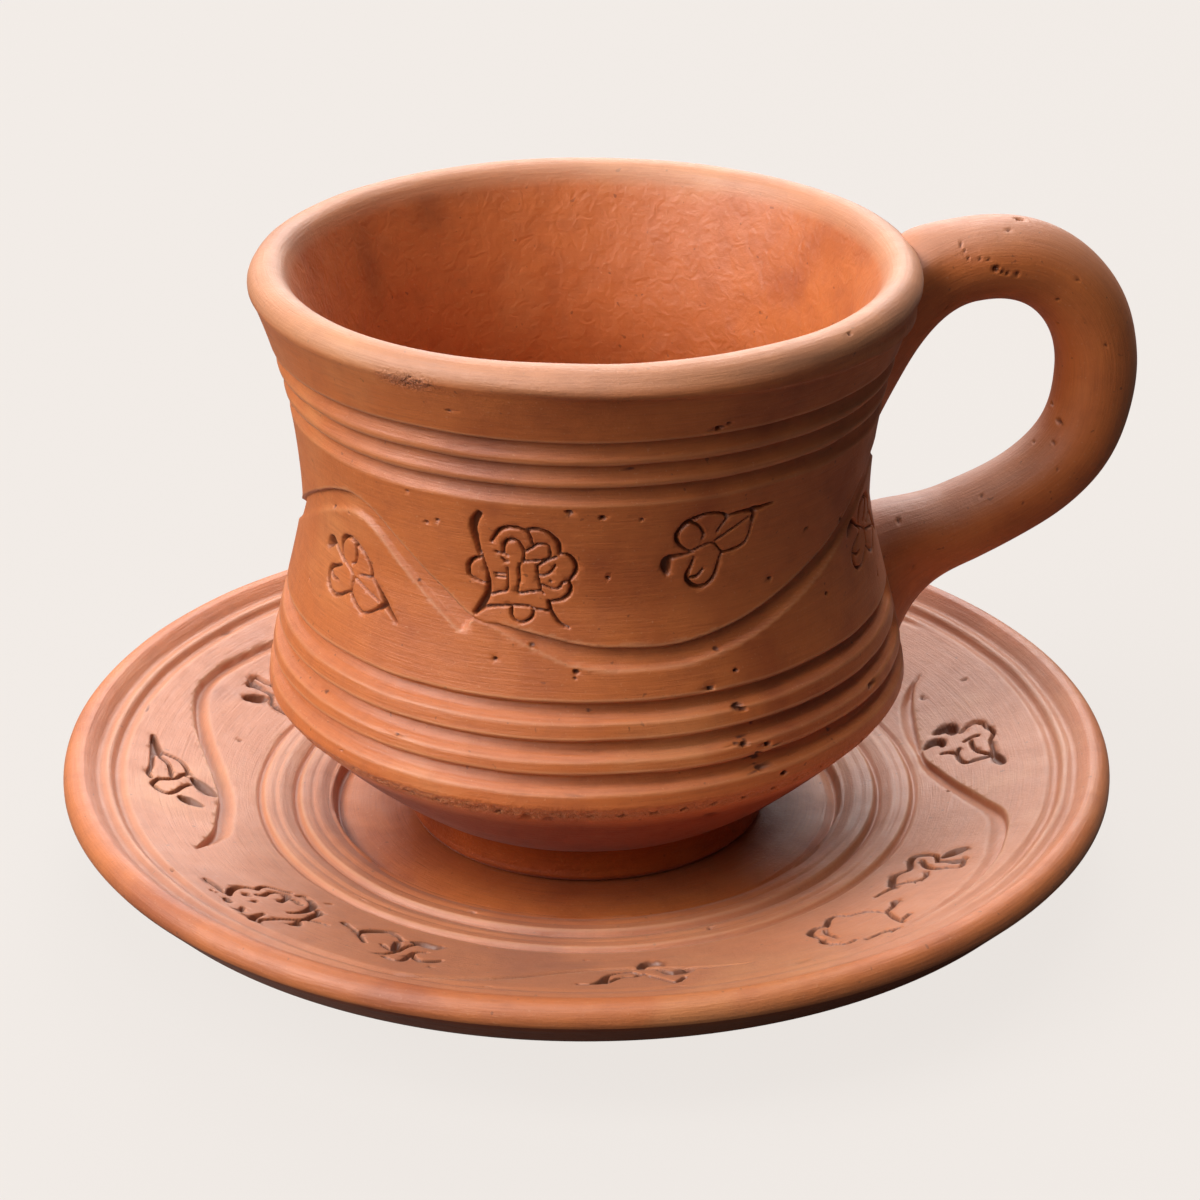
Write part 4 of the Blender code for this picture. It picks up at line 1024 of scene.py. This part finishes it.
def saucer_rows():
    plain, wide, widest = SAUCER_STRIDES
    well_end = WELL_RADIUS - WELL_EDGE_RUN
    rows = [(HUB, WELL_FLOOR, widest, 0), (SAUCER_CORE, WELL_FLOOR, wide, 0)]
    start, change, step = WELL_STEPS
    for radius in even(start, well_end, step):
        rows.append((radius, WELL_FLOOR, wide if radius < change else plain, 0))
    inside, outside = RIM_MARGINS
    stops = (
        well_end, WELL_RADIUS + WELL_STEP_RUN, INNER_BAND_RADIUS,
        RIM_FOOT_RADIUS - inside, RIM_FOOT_RADIUS + outside,
    )
    for inner, outer, (step, stride) in zip(stops, stops[1:], SAUCER_STEPS):
        for radius in even(inner, outer, step):
            rows.append((radius, float(band_height(radius)), stride, int(radius > WELL_RADIUS)))
    rim_height = SAUCER_TOP - RIM_ROUND
    rows += arc_rows(
        np.radians(even(90 + RIM_LEAN, 0, 8)), SAUCER_RADIUS - RIM_ROUND, rim_height, RIM_ROUND, plain,
        lambda angle: max(0.0, math.sin(angle)),
    )
    side = (SAUCER_RADIUS, rim_height - RIM_SIDE)
    under = (side[0] - RIM_UNDERCUT[0], side[1] - RIM_UNDERCUT[1])
    rows += [(SAUCER_RADIUS, rim_height, plain, 0), (SAUCER_RADIUS, side[1] + RIM_BEVEL, plain, 0)]
    rows.append((SAUCER_RADIUS - RIM_BEVEL, side[1], plain, 0))
    rows += straight_rows(even(0.1, 1, 0.15), side, under, plain)
    rows += straight_rows(even(0, 1, 0.06), under, (BASE_RADIUS, BASE_EDGE), plain)
    rows += [(BASE_RADIUS, BASE_EDGE, plain, 0), (BASE_RADIUS, BEVEL, plain, 0)]
    rows += [(BASE_RADIUS - BEVEL, 0.0, plain, 0), (BASE_INNER, 0.0, wide, 0)]
    return rows + [(SAUCER_CORE, 0.0, wide, 0), (HUB, 0.0, widest, 0)]


def cell_corners(present, ids, low, high, first, last):
    """Points round the edge of one cell, with those that a finer neighbour puts there."""
    lattice = present.shape[1]
    end = last % lattice
    corner = [ids[k, first] for k in range(low, high) if present[k, first]]
    corner += [ids[high, c % lattice] for c in range(first, last) if present[high, c % lattice]]
    corner += [ids[k, end] for k in range(high, low, -1) if present[k, end]]
    corner += [ids[low, c % lattice] for c in range(last, first, -1) if present[low, c % lattice]]
    return tuple(corner)


def turned_faces(present, ids, strides, split, closed):
    """Faces of a turned mesh, whose cells are whole or split."""
    lattice = present.shape[1]
    faces = []
    for row, parts in enumerate(split):
        stride = max(strides[row], strides[row + 1])
        for cell, count in enumerate(np.maximum(parts, 1)):
            tall = SPLIT // count
            wide = stride // count
            for low in range(row * SPLIT, (row + 1) * SPLIT, tall):
                for first in range(cell * stride, (cell + 1) * stride, wide):
                    faces.append(cell_corners(present, ids, low, low + tall, first, first + wide))
    if not closed:
        faces.append(tuple(ids[0, c] for c in range(lattice) if present[0, c]))
        faces.append(tuple(ids[-1, c] for c in range(lattice - 1, -1, -1) if present[-1, c]))
    return faces


def clay_object(name, points, faces, layers):
    """A smooth mesh object from points in millimetres, with its surface values stored on it."""
    mesh = bpy.data.meshes.new(name)
    mesh.from_pydata((points * MM).tolist(), [], faces)
    mesh.polygons.foreach_set("use_smooth", [True] * len(mesh.polygons))
    for layer, values in layers.items():
        kind, field = ("FLOAT_VECTOR", "vector") if values.ndim == 2 else ("FLOAT", "value")
        stored = mesh.attributes.new(layer, kind, "POINT")
        stored.data.foreach_set(field, values.astype(np.float32).ravel())
    mesh.update()
    made = bpy.data.objects.new(name, mesh)
    bpy.context.collection.objects.link(made)
    return made


def turned(name, rows, lattice, relief, detail=None, closed=False):
    """A turned piece: the profile's rows swept round Z, with relief along the profile's normals."""
    strides = [row[2] for row in rows]
    values = np.array([(row[0], row[1], row[3]) for row in rows], float)
    run = np.gradient(values[:, :2], axis=0)
    length = np.maximum(np.linalg.norm(run, axis=1), TINY)
    fine = np.arange((len(rows) - 1) * SPLIT + 1) / SPLIT
    columns = (*values.T, -run[:, 1] / length, run[:, 0] / length, lengths_along(values[:, :2]))
    columns = np.stack([np.interp(fine, np.arange(len(rows)), column) for column in columns])
    present = np.zeros((len(fine), lattice), bool)
    for row, stride in enumerate(strides):
        present[row * SPLIT, ::stride] = True
    split = []
    for row in range(len(rows) - 1):
        stride = max(strides[row], strides[row + 1])
        radius, height, kind = (values[row] + values[row + 1]) / 2
        azimuth = (np.arange(lattice // stride) + 0.5) * stride * 360.0 / lattice
        parts = np.zeros(len(azimuth), int)
        if detail and kind >= CARVED_KIND:
            parts = detail(azimuth, radius, height)
        for cell in np.flatnonzero(parts):
            levels = range(row * SPLIT, (row + 1) * SPLIT + 1, SPLIT // parts[cell])
            spots = np.arange(cell * stride, (cell + 1) * stride + 1, stride // parts[cell]) % lattice
            present[np.ix_(levels, spots)] = True
        split.append(parts)
    if closed:
        present[0] |= present[-1]
        present[-1] = False
    ids = np.cumsum(present.ravel()).reshape(present.shape) - 1
    at_row, at_column = np.nonzero(present)
    if closed:
        present[-1] = present[0]
        ids[-1] = ids[0]
    azimuth = at_column * 360.0 / lattice
    cosine = np.cos(np.radians(azimuth))
    sine = np.sin(np.radians(azimuth))
    r, z, kind, n_r, n_z, along = columns[:, at_row]
    plain = np.stack([r * cosine, r * sine, z], axis=1)
    height, layers = relief(azimuth, r, z, kind, plain)
    spread = r + height * n_r
    points = np.stack([spread * cosine, spread * sine, z + height * n_z], axis=1)
    layers["flow"] = np.stack([plain[:, 0] * FLOW_ALONG, plain[:, 1] * FLOW_ALONG, along], axis=1)
    return clay_object(name, points, turned_faces(present, ids, strides, split, closed), layers)


# Handle: a pulled round loop that spreads onto the wall at both ends
HANDLE_ROUND = 132
HANDLE_STEP = 0.36
HANDLE_AHEAD = 0.2
SPAN_POINTS = 120
ROOT_STEP = 0.025
ROOT_INNER = 0.94
HANDLE_ENDS = (0.0, 6.0)
# Strength of the painted shade in the handle's pits
HANDLE_PIT_SHADE = 0.8
LOOSE_PITS_ALONG = (0.62, 62.0)

# Pits seen in the handle: length along it, angle round it, radius
HANDLE_PITS = (
    (8.1, 316, 0.28), (8.7, 305, 0.24), (9.3, 295, 0.24), (11.1, 289, 0.24), (12.4, 286, 0.24),
    (13.4, 273, 0.5), (14.1, 268, 0.3), (14.9, 265, 0.3), (16.3, 265, 0.3), (15.2, 327, 0.3),
    (17.0, 352, 0.5), (24.6, 286, 0.2), (24.2, 248, 0.26), (28.5, 218, 0.3), (34.6, 270, 0.2),
    (46.1, 185, 0.5), (48.3, 213, 0.5), (52.2, 221, 0.35), (55.1, 251, 0.22), (66.6, 224, 0.3),
    (79.0, 215, 0.42), (78.5, 275, 0.25), (54.7, 196, 0.25), (62.0, 262, 0.2),
)


def in_plane(x, z):
    """A point or direction in the plane of the handle."""
    return Vector((x, 0.0, z))


def handle_line():
    """The handle's centreline from the wall at the top to the wall at the bottom, and lengths along it."""
    upper = in_plane(float(wall_radius(UPPER_ROOT_HEIGHT)), UPPER_ROOT_HEIGHT)
    lower = in_plane(float(wall_radius(LOWER_ROOT_HEIGHT)), LOWER_ROOT_HEIGHT)
    crown = in_plane(*CROWN)
    outermost = in_plane(*OUTERMOST)
    leave = in_plane(math.cos(UPPER_ROOT_ANGLE), math.sin(UPPER_ROOT_ANGLE))
    arrive = in_plane(-math.cos(LOWER_ROOT_ANGLE), -math.sin(LOWER_ROOT_ANGLE))
    level = in_plane(1.0, 0.0)
    down = in_plane(0.0, -1.0)
    spans = (
        (upper, leave, level, crown, (crown - upper).length, crown.x - upper.x, UPPER_PULLS),
        (crown, level, down, outermost, outermost.x - crown.x, crown.z - outermost.z, CROWN_PULLS),
        (outermost, down, arrive, lower, outermost.z - lower.z, outermost.x - lower.x, LOWER_PULLS),
    )
    line = []
    for start, out, into, end, out_span, into_span, pulls in spans:
        first = start + out * out_span * pulls[0]
        second = end - into * into_span * pulls[1]
        line += interpolate_bezier(start, first, second, end, SPAN_POINTS)[:-1]
    line = np.array([tuple(point) for point in line + [lower]])
    return line, lengths_along(line)


def handle_ring(line, lengths, length, angles):
    """Points of the round handle at one length along it, and its direction there."""
    behind, spot, ahead = (
        np.array([np.interp(length + step, lengths, line[:, axis]) for axis in range(3)])
        for step in (-HANDLE_AHEAD, 0.0, HANDLE_AHEAD)
    )
    heading = (ahead - behind) / np.linalg.norm(ahead - behind)
    outward = np.array([-heading[2], 0.0, heading[0]])
    side = np.array([0.0, 1.0, 0.0])
    from_root = min(length, lengths[-1] - length)
    radius = HANDLE_RADIUS + HANDLE_SWELL * max(0.0, 1 - from_root / HANDLE_FLARE) ** 2
    around = np.cos(angles)[:, None] * outward + np.sin(angles)[:, None] * side
    return spot + radius * around, heading


def on_wall(aside, height):
    """Points just inside the cup's outside, beside the plane of the handle."""
    radius = outside_radius(height) - ROOT_SINK
    return np.stack([np.sqrt(radius**2 - aside**2), aside, height], axis=1)


def footprint(angles, level, up, down, tilt):
    """Outline of a handle's end on the wall, and the direction off the wall on the way to its middle."""
    lift = np.cos(angles)
    height = level + np.where(lift > 0, up, down) * lift
    share, soft = ROOT_PINCH
    pinch = np.where(lift > 0, 1.0, 1.0 - share * (down / (down + soft)) * lift**2)
    aside = ROOT_HALF_WIDTH * np.sin(angles) * pinch
    edge = on_wall(aside, height)
    inner = on_wall(aside * ROOT_INNER, level + (height - level) * ROOT_INNER)
    along = (inner - edge) / np.linalg.norm(inner - edge, axis=1)[:, None]
    along[:, 0] += tilt
    return edge, along


def spread_end(angles, root, lean, pull, ring, heading):
    """Rows of points that leave the wall along its web, or straight above it, and run into the handle."""
    edge, along = footprint(angles, *root)
    web = (1 - np.cos(angles))[:, None] / 2
    off = np.array([math.cos(lean), 0.0, math.sin(lean)]) * (1 - web) + along * web
    off = off / np.linalg.norm(off, axis=1)[:, None]
    reach = np.linalg.norm(ring - edge, axis=1)[:, None]
    out = off * reach * (1 + (pull - 1) * web)
    return [eased(share, edge, out, ring, heading * reach * ROOT_INTO) for share in even(0, 1, ROOT_STEP)]


def handle_normals(grid):
    """Outward directions of a tube's points, given row by row."""
    along = np.gradient(grid, axis=0)
    around = np.roll(grid, -1, axis=1) - np.roll(grid, 1, axis=1)
    outward = np.cross(around, along)
    outward /= np.maximum(np.linalg.norm(outward, axis=2), TINY)[:, :, None]
    middle = grid.mean(axis=1, keepdims=True)
    facing = np.sign(np.sum(outward * (grid - middle), axis=(1, 2)))
    return (outward * facing[:, None, None]).reshape(-1, 3)


def pulled_handle(name):
    line, lengths = handle_line()
    total = lengths[-1]
    angles = 2 * math.pi * np.arange(HANDLE_ROUND) / HANDLE_ROUND
    ring, heading = handle_ring(line, lengths, ROOT_RUN, angles)
    rows = spread_end(angles, UPPER_ROOT, UPPER_ROOT_ANGLE, UPPER_ROOT_PULL, ring, heading)
    marks = [ROOT_RUN * k / len(rows) for k in range(len(rows))]
    for length in even(ROOT_RUN, total - ROOT_RUN, HANDLE_STEP):
        rows.append(handle_ring(line, lengths, length, angles)[0])
        marks.append(length)
    ring, heading = handle_ring(line, lengths, total - ROOT_RUN, angles)
    lower = spread_end(math.pi - angles, LOWER_ROOT, LOWER_ROOT_ANGLE, LOWER_ROOT_PULL, ring, -heading)
    marks += [total - ROOT_RUN * k / len(lower) for k in range(len(lower) - 1, -1, -1)]
    rows += lower[::-1]
    count = len(rows)
    points = np.concatenate(rows)
    length = np.repeat(np.array(marks), HANDLE_ROUND)
    angle = np.tile(angles, count)
    normals = handle_normals(points.reshape(count, HANDLE_ROUND, 3))
    stretch, start = LOOSE_PITS_ALONG
    pits = [(turn, along, size) for along, turn, size in HANDLE_PITS]
    pits += [(b * 2.0, a * stretch + start, size) for a, b, size in scattered(*LOOSE_HANDLE_PITS)]
    pit, recess_shade = pitted(np.degrees(angle), length, HANDLE_RADIUS, pits, lumps(points, *PIT_GRAIN))[:2]
    ends = smoothstep(*HANDLE_ENDS, np.minimum(length, total - length))
    points = points + normals * ((lumps(points, *HANDLE_UNEVEN) - pit) * ends)[:, None]
    faces = []
    for a in range(0, (count - 1) * HANDLE_ROUND, HANDLE_ROUND):
        b = a + HANDLE_ROUND
        for c in range(HANDLE_ROUND):
            d = (c + 1) % HANDLE_ROUND
            faces.append((a + c, b + c, b + d, a + d))
    faces.append(tuple(range(HANDLE_ROUND)))
    faces.append(tuple(range(count * HANDLE_ROUND - 1, (count - 1) * HANDLE_ROUND - 1, -1)))
    # Dust with painted sheen on the upward-facing top of the handle
    tone = HANDLE_DUST_AND_SHEEN * smoothstep(*HANDLE_DUST_AND_SHEEN_SPAN, normals[:, 2])
    # Painted shade in the handle's pits
    layers = clay_layers(len(points), hollow=HANDLE_PIT_SHADE * recess_shade * ends, tone=tone)
    round_it = (HANDLE_RADIUS * np.cos(angle), HANDLE_RADIUS * np.sin(angle))
    layers["flow"] = np.stack([length * FLOW_ALONG, *round_it], axis=1)
    return clay_object(name, points, faces, layers)


# Clay: colours, from deep and plain to worn with painted highlight, dust with painted sheen, dark for flecks
# and painted shade, and painted shade
CLAY_DEEP = (0.43, 0.092, 0.017)
CLAY = (0.59, 0.153, 0.032)
CLAY_PALE = (0.68, 0.23, 0.068)
CLAY_WORN_AND_HIGHLIGHT = (0.74, 0.38, 0.19)
CLAY_DUST_AND_SHEEN = (0.48, 0.31, 0.22)
CLAY_FLECK_AND_SHADE = (0.08, 0.016, 0.004)
CLAY_SHADE = (0.45, 0.29, 0.19)
WHITE = (1.0, 1.0, 1.0)

# Noise in the clay: what it follows, scale per millimetre, detail, roughness, distortion
CLAY_NOISE = {
    "patches": ("spot", 0.045, 3.0, 0.5, 0.0),
    "mottle": ("spot", 0.3, 4.0, 0.6, 0.0),
    "grain": ("spot", 2.2, 3.0, 0.6, 0.0),
    "crumbs": ("spot", 1.5, 4.0, 0.65, 0.0),
    "streaks": ("flow", 1.5, 3.0, 0.6, 0.0),
    "brushing": ("flow", 4.5, 3.0, 0.65, 0.0),
    "dabs": ("spot", 0.55, 1.5, 0.4, 1.0),
    "flecks": ("spot", 1.0, 1.0, 0.5, 0.0),
}

# Values spread over a range: what they follow, from and to, and what they become there
CLAY_RANGES = {
    "wiped": ("dabbed", 0.0, 1.0, 0.5, 0.15),
    "combed": ("dabbed", 0.0, 1.0, 0.75, 0.1),
    "matt": ("mottle", 0.3, 0.7, 0.56, 0.46),
    "gleam": ("tone", 0.0, -1.0, 0.8, 0.15),
}
CLAY_PATCHES = ((0.30, CLAY_DEEP), (0.45, CLAY), (0.58, CLAY), (0.75, CLAY_PALE))

# Shades that multiply the colour: noise, strength, and the shade at three of its values
CLAY_SHADES = (
    ("mottle", 0.7, (0.30, (0.86, 0.82, 0.80)), (0.5, WHITE), (0.72, (1.05, 1.08, 1.1))),
    ("streaks", "wiped", (0.32, (0.88, 0.84, 0.82)), (0.5, WHITE), (0.7, (1.04, 1.06, 1.08))),
    ("brushing", "wiped", (0.34, (0.84, 0.80, 0.78)), (0.5, WHITE), (0.68, (1.05, 1.07, 1.1))),
)

# Colours laid over it: blend, what they follow, where they start and are full, strength, colour
CLAY_TINTS = (
    ("MIX", "flecks", 0.74, 0.79, 0.45, CLAY_FLECK_AND_SHADE),
    ("MIX", "grain", 0.63, 0.74, 0.3, CLAY_WORN_AND_HIGHLIGHT),
    ("MIX", "grain", 0.35, 0.27, 0.4, CLAY_DEEP),
    # Ridges paler: wear and painted highlight
    ("MIX", "crest", 0.15, 0.9, 0.3, CLAY_WORN_AND_HIGHLIGHT),
    # Hollows of the turning darker: painted shade
    ("MIX", "crest", -0.1, -0.9, 0.5, CLAY_DEEP),
    # Dust with painted sheen
    ("MIX", "tone", 0.0, 1.0, 0.9, CLAY_DUST_AND_SHEEN),
    # Painted shade inside, under the cup, on the foot, in the well and under the saucer
    ("MULTIPLY", "tone", 0.0, -1.0, 1.0, CLAY_SHADE),
    # Painted shade in cuts, pits, creases and the front vine; darker patches inside
    ("MIX", "hollow", 0.0, 1.0, 0.85, CLAY_FLECK_AND_SHADE),
)

# Bumps: noise, height in millimetres, strength
CLAY_BUMPS = (
    ("mottle", 0.2, 0.4), ("crumbs", 0.7, "rough"), ("dabs", 0.15, "dabbed"),
    ("streaks", 0.09, "combed"), ("brushing", 0.06, "combed"), ("grain", 0.06, 0.7),
)
CLAY_SHEEN = {"Sheen Weight": 0.1, "Sheen Roughness": 0.4, "Sheen Tint": (1.0, 0.9, 0.84)}


def feed(tree, socket, value):
    """Links a socket to another one, or sets a number or a colour on it."""
    if isinstance(value, bpy.types.NodeSocket):
        tree.links.new(value, socket)
    else:
        socket.default_value = (*value, 1.0) if isinstance(value, tuple) else value


def add_node(tree, kind, inputs, **settings):
    """A new node with its settings, and with its inputs linked or set."""
    made = tree.nodes.new(kind)
    for key, value in settings.items():
        setattr(made, key, value)
    for socket, value in inputs.items():
        feed(tree, made.inputs[socket], value)
    return made


def noise_node(tree, vector, scale, detail, rough, distortion):
    inputs = {"Vector": vector, "Scale": scale, "Detail": detail, "Roughness": rough}
    inputs["Distortion"] = distortion
    return add_node(tree, "ShaderNodeTexNoise", inputs).outputs["Fac"]


def ramp_node(tree, factor, stops):
    """A colour ramp from position and colour pairs."""
    made = add_node(tree, "ShaderNodeValToRGB", {"Fac": factor})
    points = made.color_ramp.elements
    while len(points) < len(stops):
        points.new(0.5)
    for point, (position, colour) in zip(points, stops):
        point.position = position
        point.color = (*colour, 1.0)
    return made.outputs["Color"]


def mix_node(tree, blend, factor, first, second):
    inputs = {0: factor, 6: first, 7: second}
    return add_node(tree, "ShaderNodeMix", inputs, data_type="RGBA", blend_type=blend).outputs[2]


def range_node(tree, value, low, high, to_low, to_high):
    inputs = {"Value": value, "From Min": low, "From Max": high, "To Min": to_low, "To Max": to_high}
    return add_node(tree, "ShaderNodeMapRange", inputs).outputs["Result"]


def clay(name):
    """Unglazed fired clay with turning streaks, mottling and speckle, crests with wear and painted
    highlight, dust with painted sheen, and painted shade.
    """
    made = bpy.data.materials.new(name)
    made.use_nodes = True
    tree = made.node_tree
    shader = tree.nodes["Principled BSDF"]
    place = add_node(tree, "ShaderNodeTexCoord", {})
    scaled = add_node(tree, "ShaderNodeMapping", {"Vector": place.outputs["Object"]})
    scaled.inputs["Scale"].default_value = (1 / MM, 1 / MM, 1 / MM)
    known = {"spot": scaled.outputs["Vector"]}
    known["flow"] = add_node(tree, "ShaderNodeAttribute", {}, attribute_name="flow").outputs["Vector"]
    for layer in LAYERS:
        known[layer] = add_node(tree, "ShaderNodeAttribute", {}, attribute_name=layer).outputs["Fac"]
    for key, (vector, *settings) in CLAY_NOISE.items():
        known[key] = noise_node(tree, known[vector], *settings)
    for key, (value, *span) in CLAY_RANGES.items():
        known[key] = range_node(tree, known[value], *span)
    colour = ramp_node(tree, known["patches"], CLAY_PATCHES)
    for factor, strength, *stops in CLAY_SHADES:
        shade = ramp_node(tree, known[factor], stops)
        colour = mix_node(tree, "MULTIPLY", known.get(strength, strength), colour, shade)
    for blend, value, low, high, strength, tint in CLAY_TINTS:
        share = range_node(tree, known[value], low, high, 0.0, strength)
        colour = mix_node(tree, blend, share, colour, tint)
    normal = {}
    for height, distance, strength in CLAY_BUMPS:
        inputs = {"Height": known[height], "Distance": distance * MM, **normal}
        inputs["Strength"] = known.get(strength, strength)
        normal = {"Normal": add_node(tree, "ShaderNodeBump", inputs).outputs["Normal"]}
    surface = {"Base Color": colour, "Roughness": known["matt"], "Specular IOR Level": known["gleam"]}
    for socket, value in {**surface, **normal, **CLAY_SHEEN}.items():
        feed(tree, shader.inputs[socket], value)
    return made


def dress(obj, body, slot, *nodes):
    """Hangs a finished piece on its body in place of the CAD nodes it shows."""
    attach(obj, body)
    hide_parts(*nodes)
    obj.data.materials.append(clay(slot))


saucer = turned("turned_saucer", saucer_rows(), SAUCER_LATTICE, saucer_relief, saucer_detail)
cup = turned("turned_cup", cup_rows(), CUP_LATTICE, cup_relief, cup_detail)
foot = turned("foot_ring", foot_rows(), FOOT_LATTICE, foot_relief, closed=True)
handle = pulled_handle("pulled_handle")
dress(saucer, "saucer", "saucer_clay", "saucer")
dress(cup, "cup", "cup_body_clay", "cup_body")
dress(foot, "cup", "cup_foot_clay", "cup_foot")
dress(handle, "cup", "cup_handle_clay", "cup_handle", "handle_upper_fillet", "handle_lower_fillet")

# Camera and lamps are placed as the photo shows them, with the handle turned 10 degrees away
VIEW_TURN = math.radians(-10)
TARGET = Vector((1.84, 0.0, 36.4))
EYE = Vector((1.84, -385.6, 217.5))
LENS = 93.17
SENSOR = 36.0


def as_seen(point):
    """A place in the photo's frame, right, away and up, as a place in the part's frame in metres."""
    return Matrix.Rotation(VIEW_TURN, 3, "Z") @ Vector(point) * MM


def placed(name, data, eye, target):
    """A camera or lamp at one place that points at another."""
    made = bpy.data.objects.new(name, data)
    bpy.context.collection.objects.link(made)
    made.location = as_seen(eye)
    made.rotation_euler = (as_seen(target) - as_seen(eye)).to_track_quat("-Z", "Y").to_euler()
    return made


lens = bpy.data.cameras.new("photo_camera")
lens.lens = LENS
lens.sensor_width = SENSOR
bpy.context.scene.camera = placed("photo_camera", lens, EYE, TARGET)

# Soft lamps: azimuth from the photo's right and elevation in degrees, and power in watts
LAMPS = {
    "key_softbox": (196, 43, 54.0),
    "low_left_softbox": (200, 22, 20.0),
    "high_back_softbox": (70, 55, 28.0),
    "back_softbox": (90, 40, 26.0),
    "back_left_softbox": (120, 25, 15.0),
    "low_back_softbox": (84, 13, 19.0),
    "top_softbox": (250, 75, 26.0),
    "front_left_softbox": (232, 28, 18.0),
}
LAMP_SIZE = 1400.0
LAMP_DISTANCE = 2800.0
LAMP_AIM = Vector((0.0, 0.0, 30.0))
for lamp_name, (azimuth, elevation, power) in LAMPS.items():
    lamp = bpy.data.lights.new(lamp_name, "AREA")
    lamp.shape = "SQUARE"
    lamp.size = LAMP_SIZE * MM
    lamp.energy = power
    turn = math.radians(azimuth)
    level = math.cos(math.radians(elevation))
    toward = Vector((level * math.cos(turn), level * math.sin(turn), math.sin(math.radians(elevation))))
    placed(lamp_name, lamp, LAMP_AIM + toward * LAMP_DISTANCE, LAMP_AIM)

# Pale floor and surroundings
PALE = (0.888, 0.839, 0.799)
FLOOR_BOUNCE = (0.06, 0.055, 0.05)
FLOOR_REACH = 3.0
FLOOR_DROP = 0.02
FLOOR_SHADE = 0.08
FLOOR_LIT = 0.6
BACKDROP_SHADE = 0.945
WORLD_LIGHT = (0.05, 0.049, 0.048)


def scaled_colour(share, colour):
    return tuple(share * value for value in colour)


floor_mesh = bpy.data.meshes.new("floor")
corners = [(FLOOR_REACH * x, FLOOR_REACH * y, 0) for x, y in ((-1, -1), (1, -1), (1, 1), (-1, 1))]
floor_mesh.from_pydata(corners, [], [(0, 1, 2, 3)])
floor = bpy.data.objects.new("floor", floor_mesh)
bpy.context.collection.objects.link(floor)
floor.location.z = -FLOOR_DROP * MM
floor_paint = bpy.data.materials.new("pale_floor")
floor_paint.use_nodes = True
paint = floor_paint.node_tree
paint.nodes.clear()
bounce = add_node(paint, "ShaderNodeBsdfDiffuse", {"Color": FLOOR_BOUNCE})
lit = add_node(paint, "ShaderNodeBsdfDiffuse", {"Color": scaled_colour(FLOOR_LIT, PALE)})
glow = add_node(paint, "ShaderNodeEmission", {"Color": PALE, "Strength": 1.0})
shown = add_node(paint, "ShaderNodeMixShader", {0: FLOOR_SHADE, 1: glow.outputs[0], 2: lit.outputs[0]})
seen = add_node(paint, "ShaderNodeLightPath", {}).outputs["Is Camera Ray"]
chosen = add_node(paint, "ShaderNodeMixShader", {0: seen, 1: bounce.outputs[0], 2: shown.outputs[0]})
add_node(paint, "ShaderNodeOutputMaterial", {"Surface": chosen.outputs[0]})
floor_mesh.materials.append(floor_paint)

world = bpy.data.worlds.new("studio")
bpy.context.scene.world = world
world.use_nodes = True
sky = world.node_tree
backdrop = sky.nodes["Background"]
seen = add_node(sky, "ShaderNodeLightPath", {}).outputs["Is Camera Ray"]
hue = mix_node(sky, "MIX", seen, WORLD_LIGHT, scaled_colour(BACKDROP_SHADE, PALE))
feed(sky, backdrop.inputs["Color"], hue)
feed(sky, backdrop.inputs["Strength"], 1.0)

bpy.context.scene.view_settings.view_transform = "Standard"
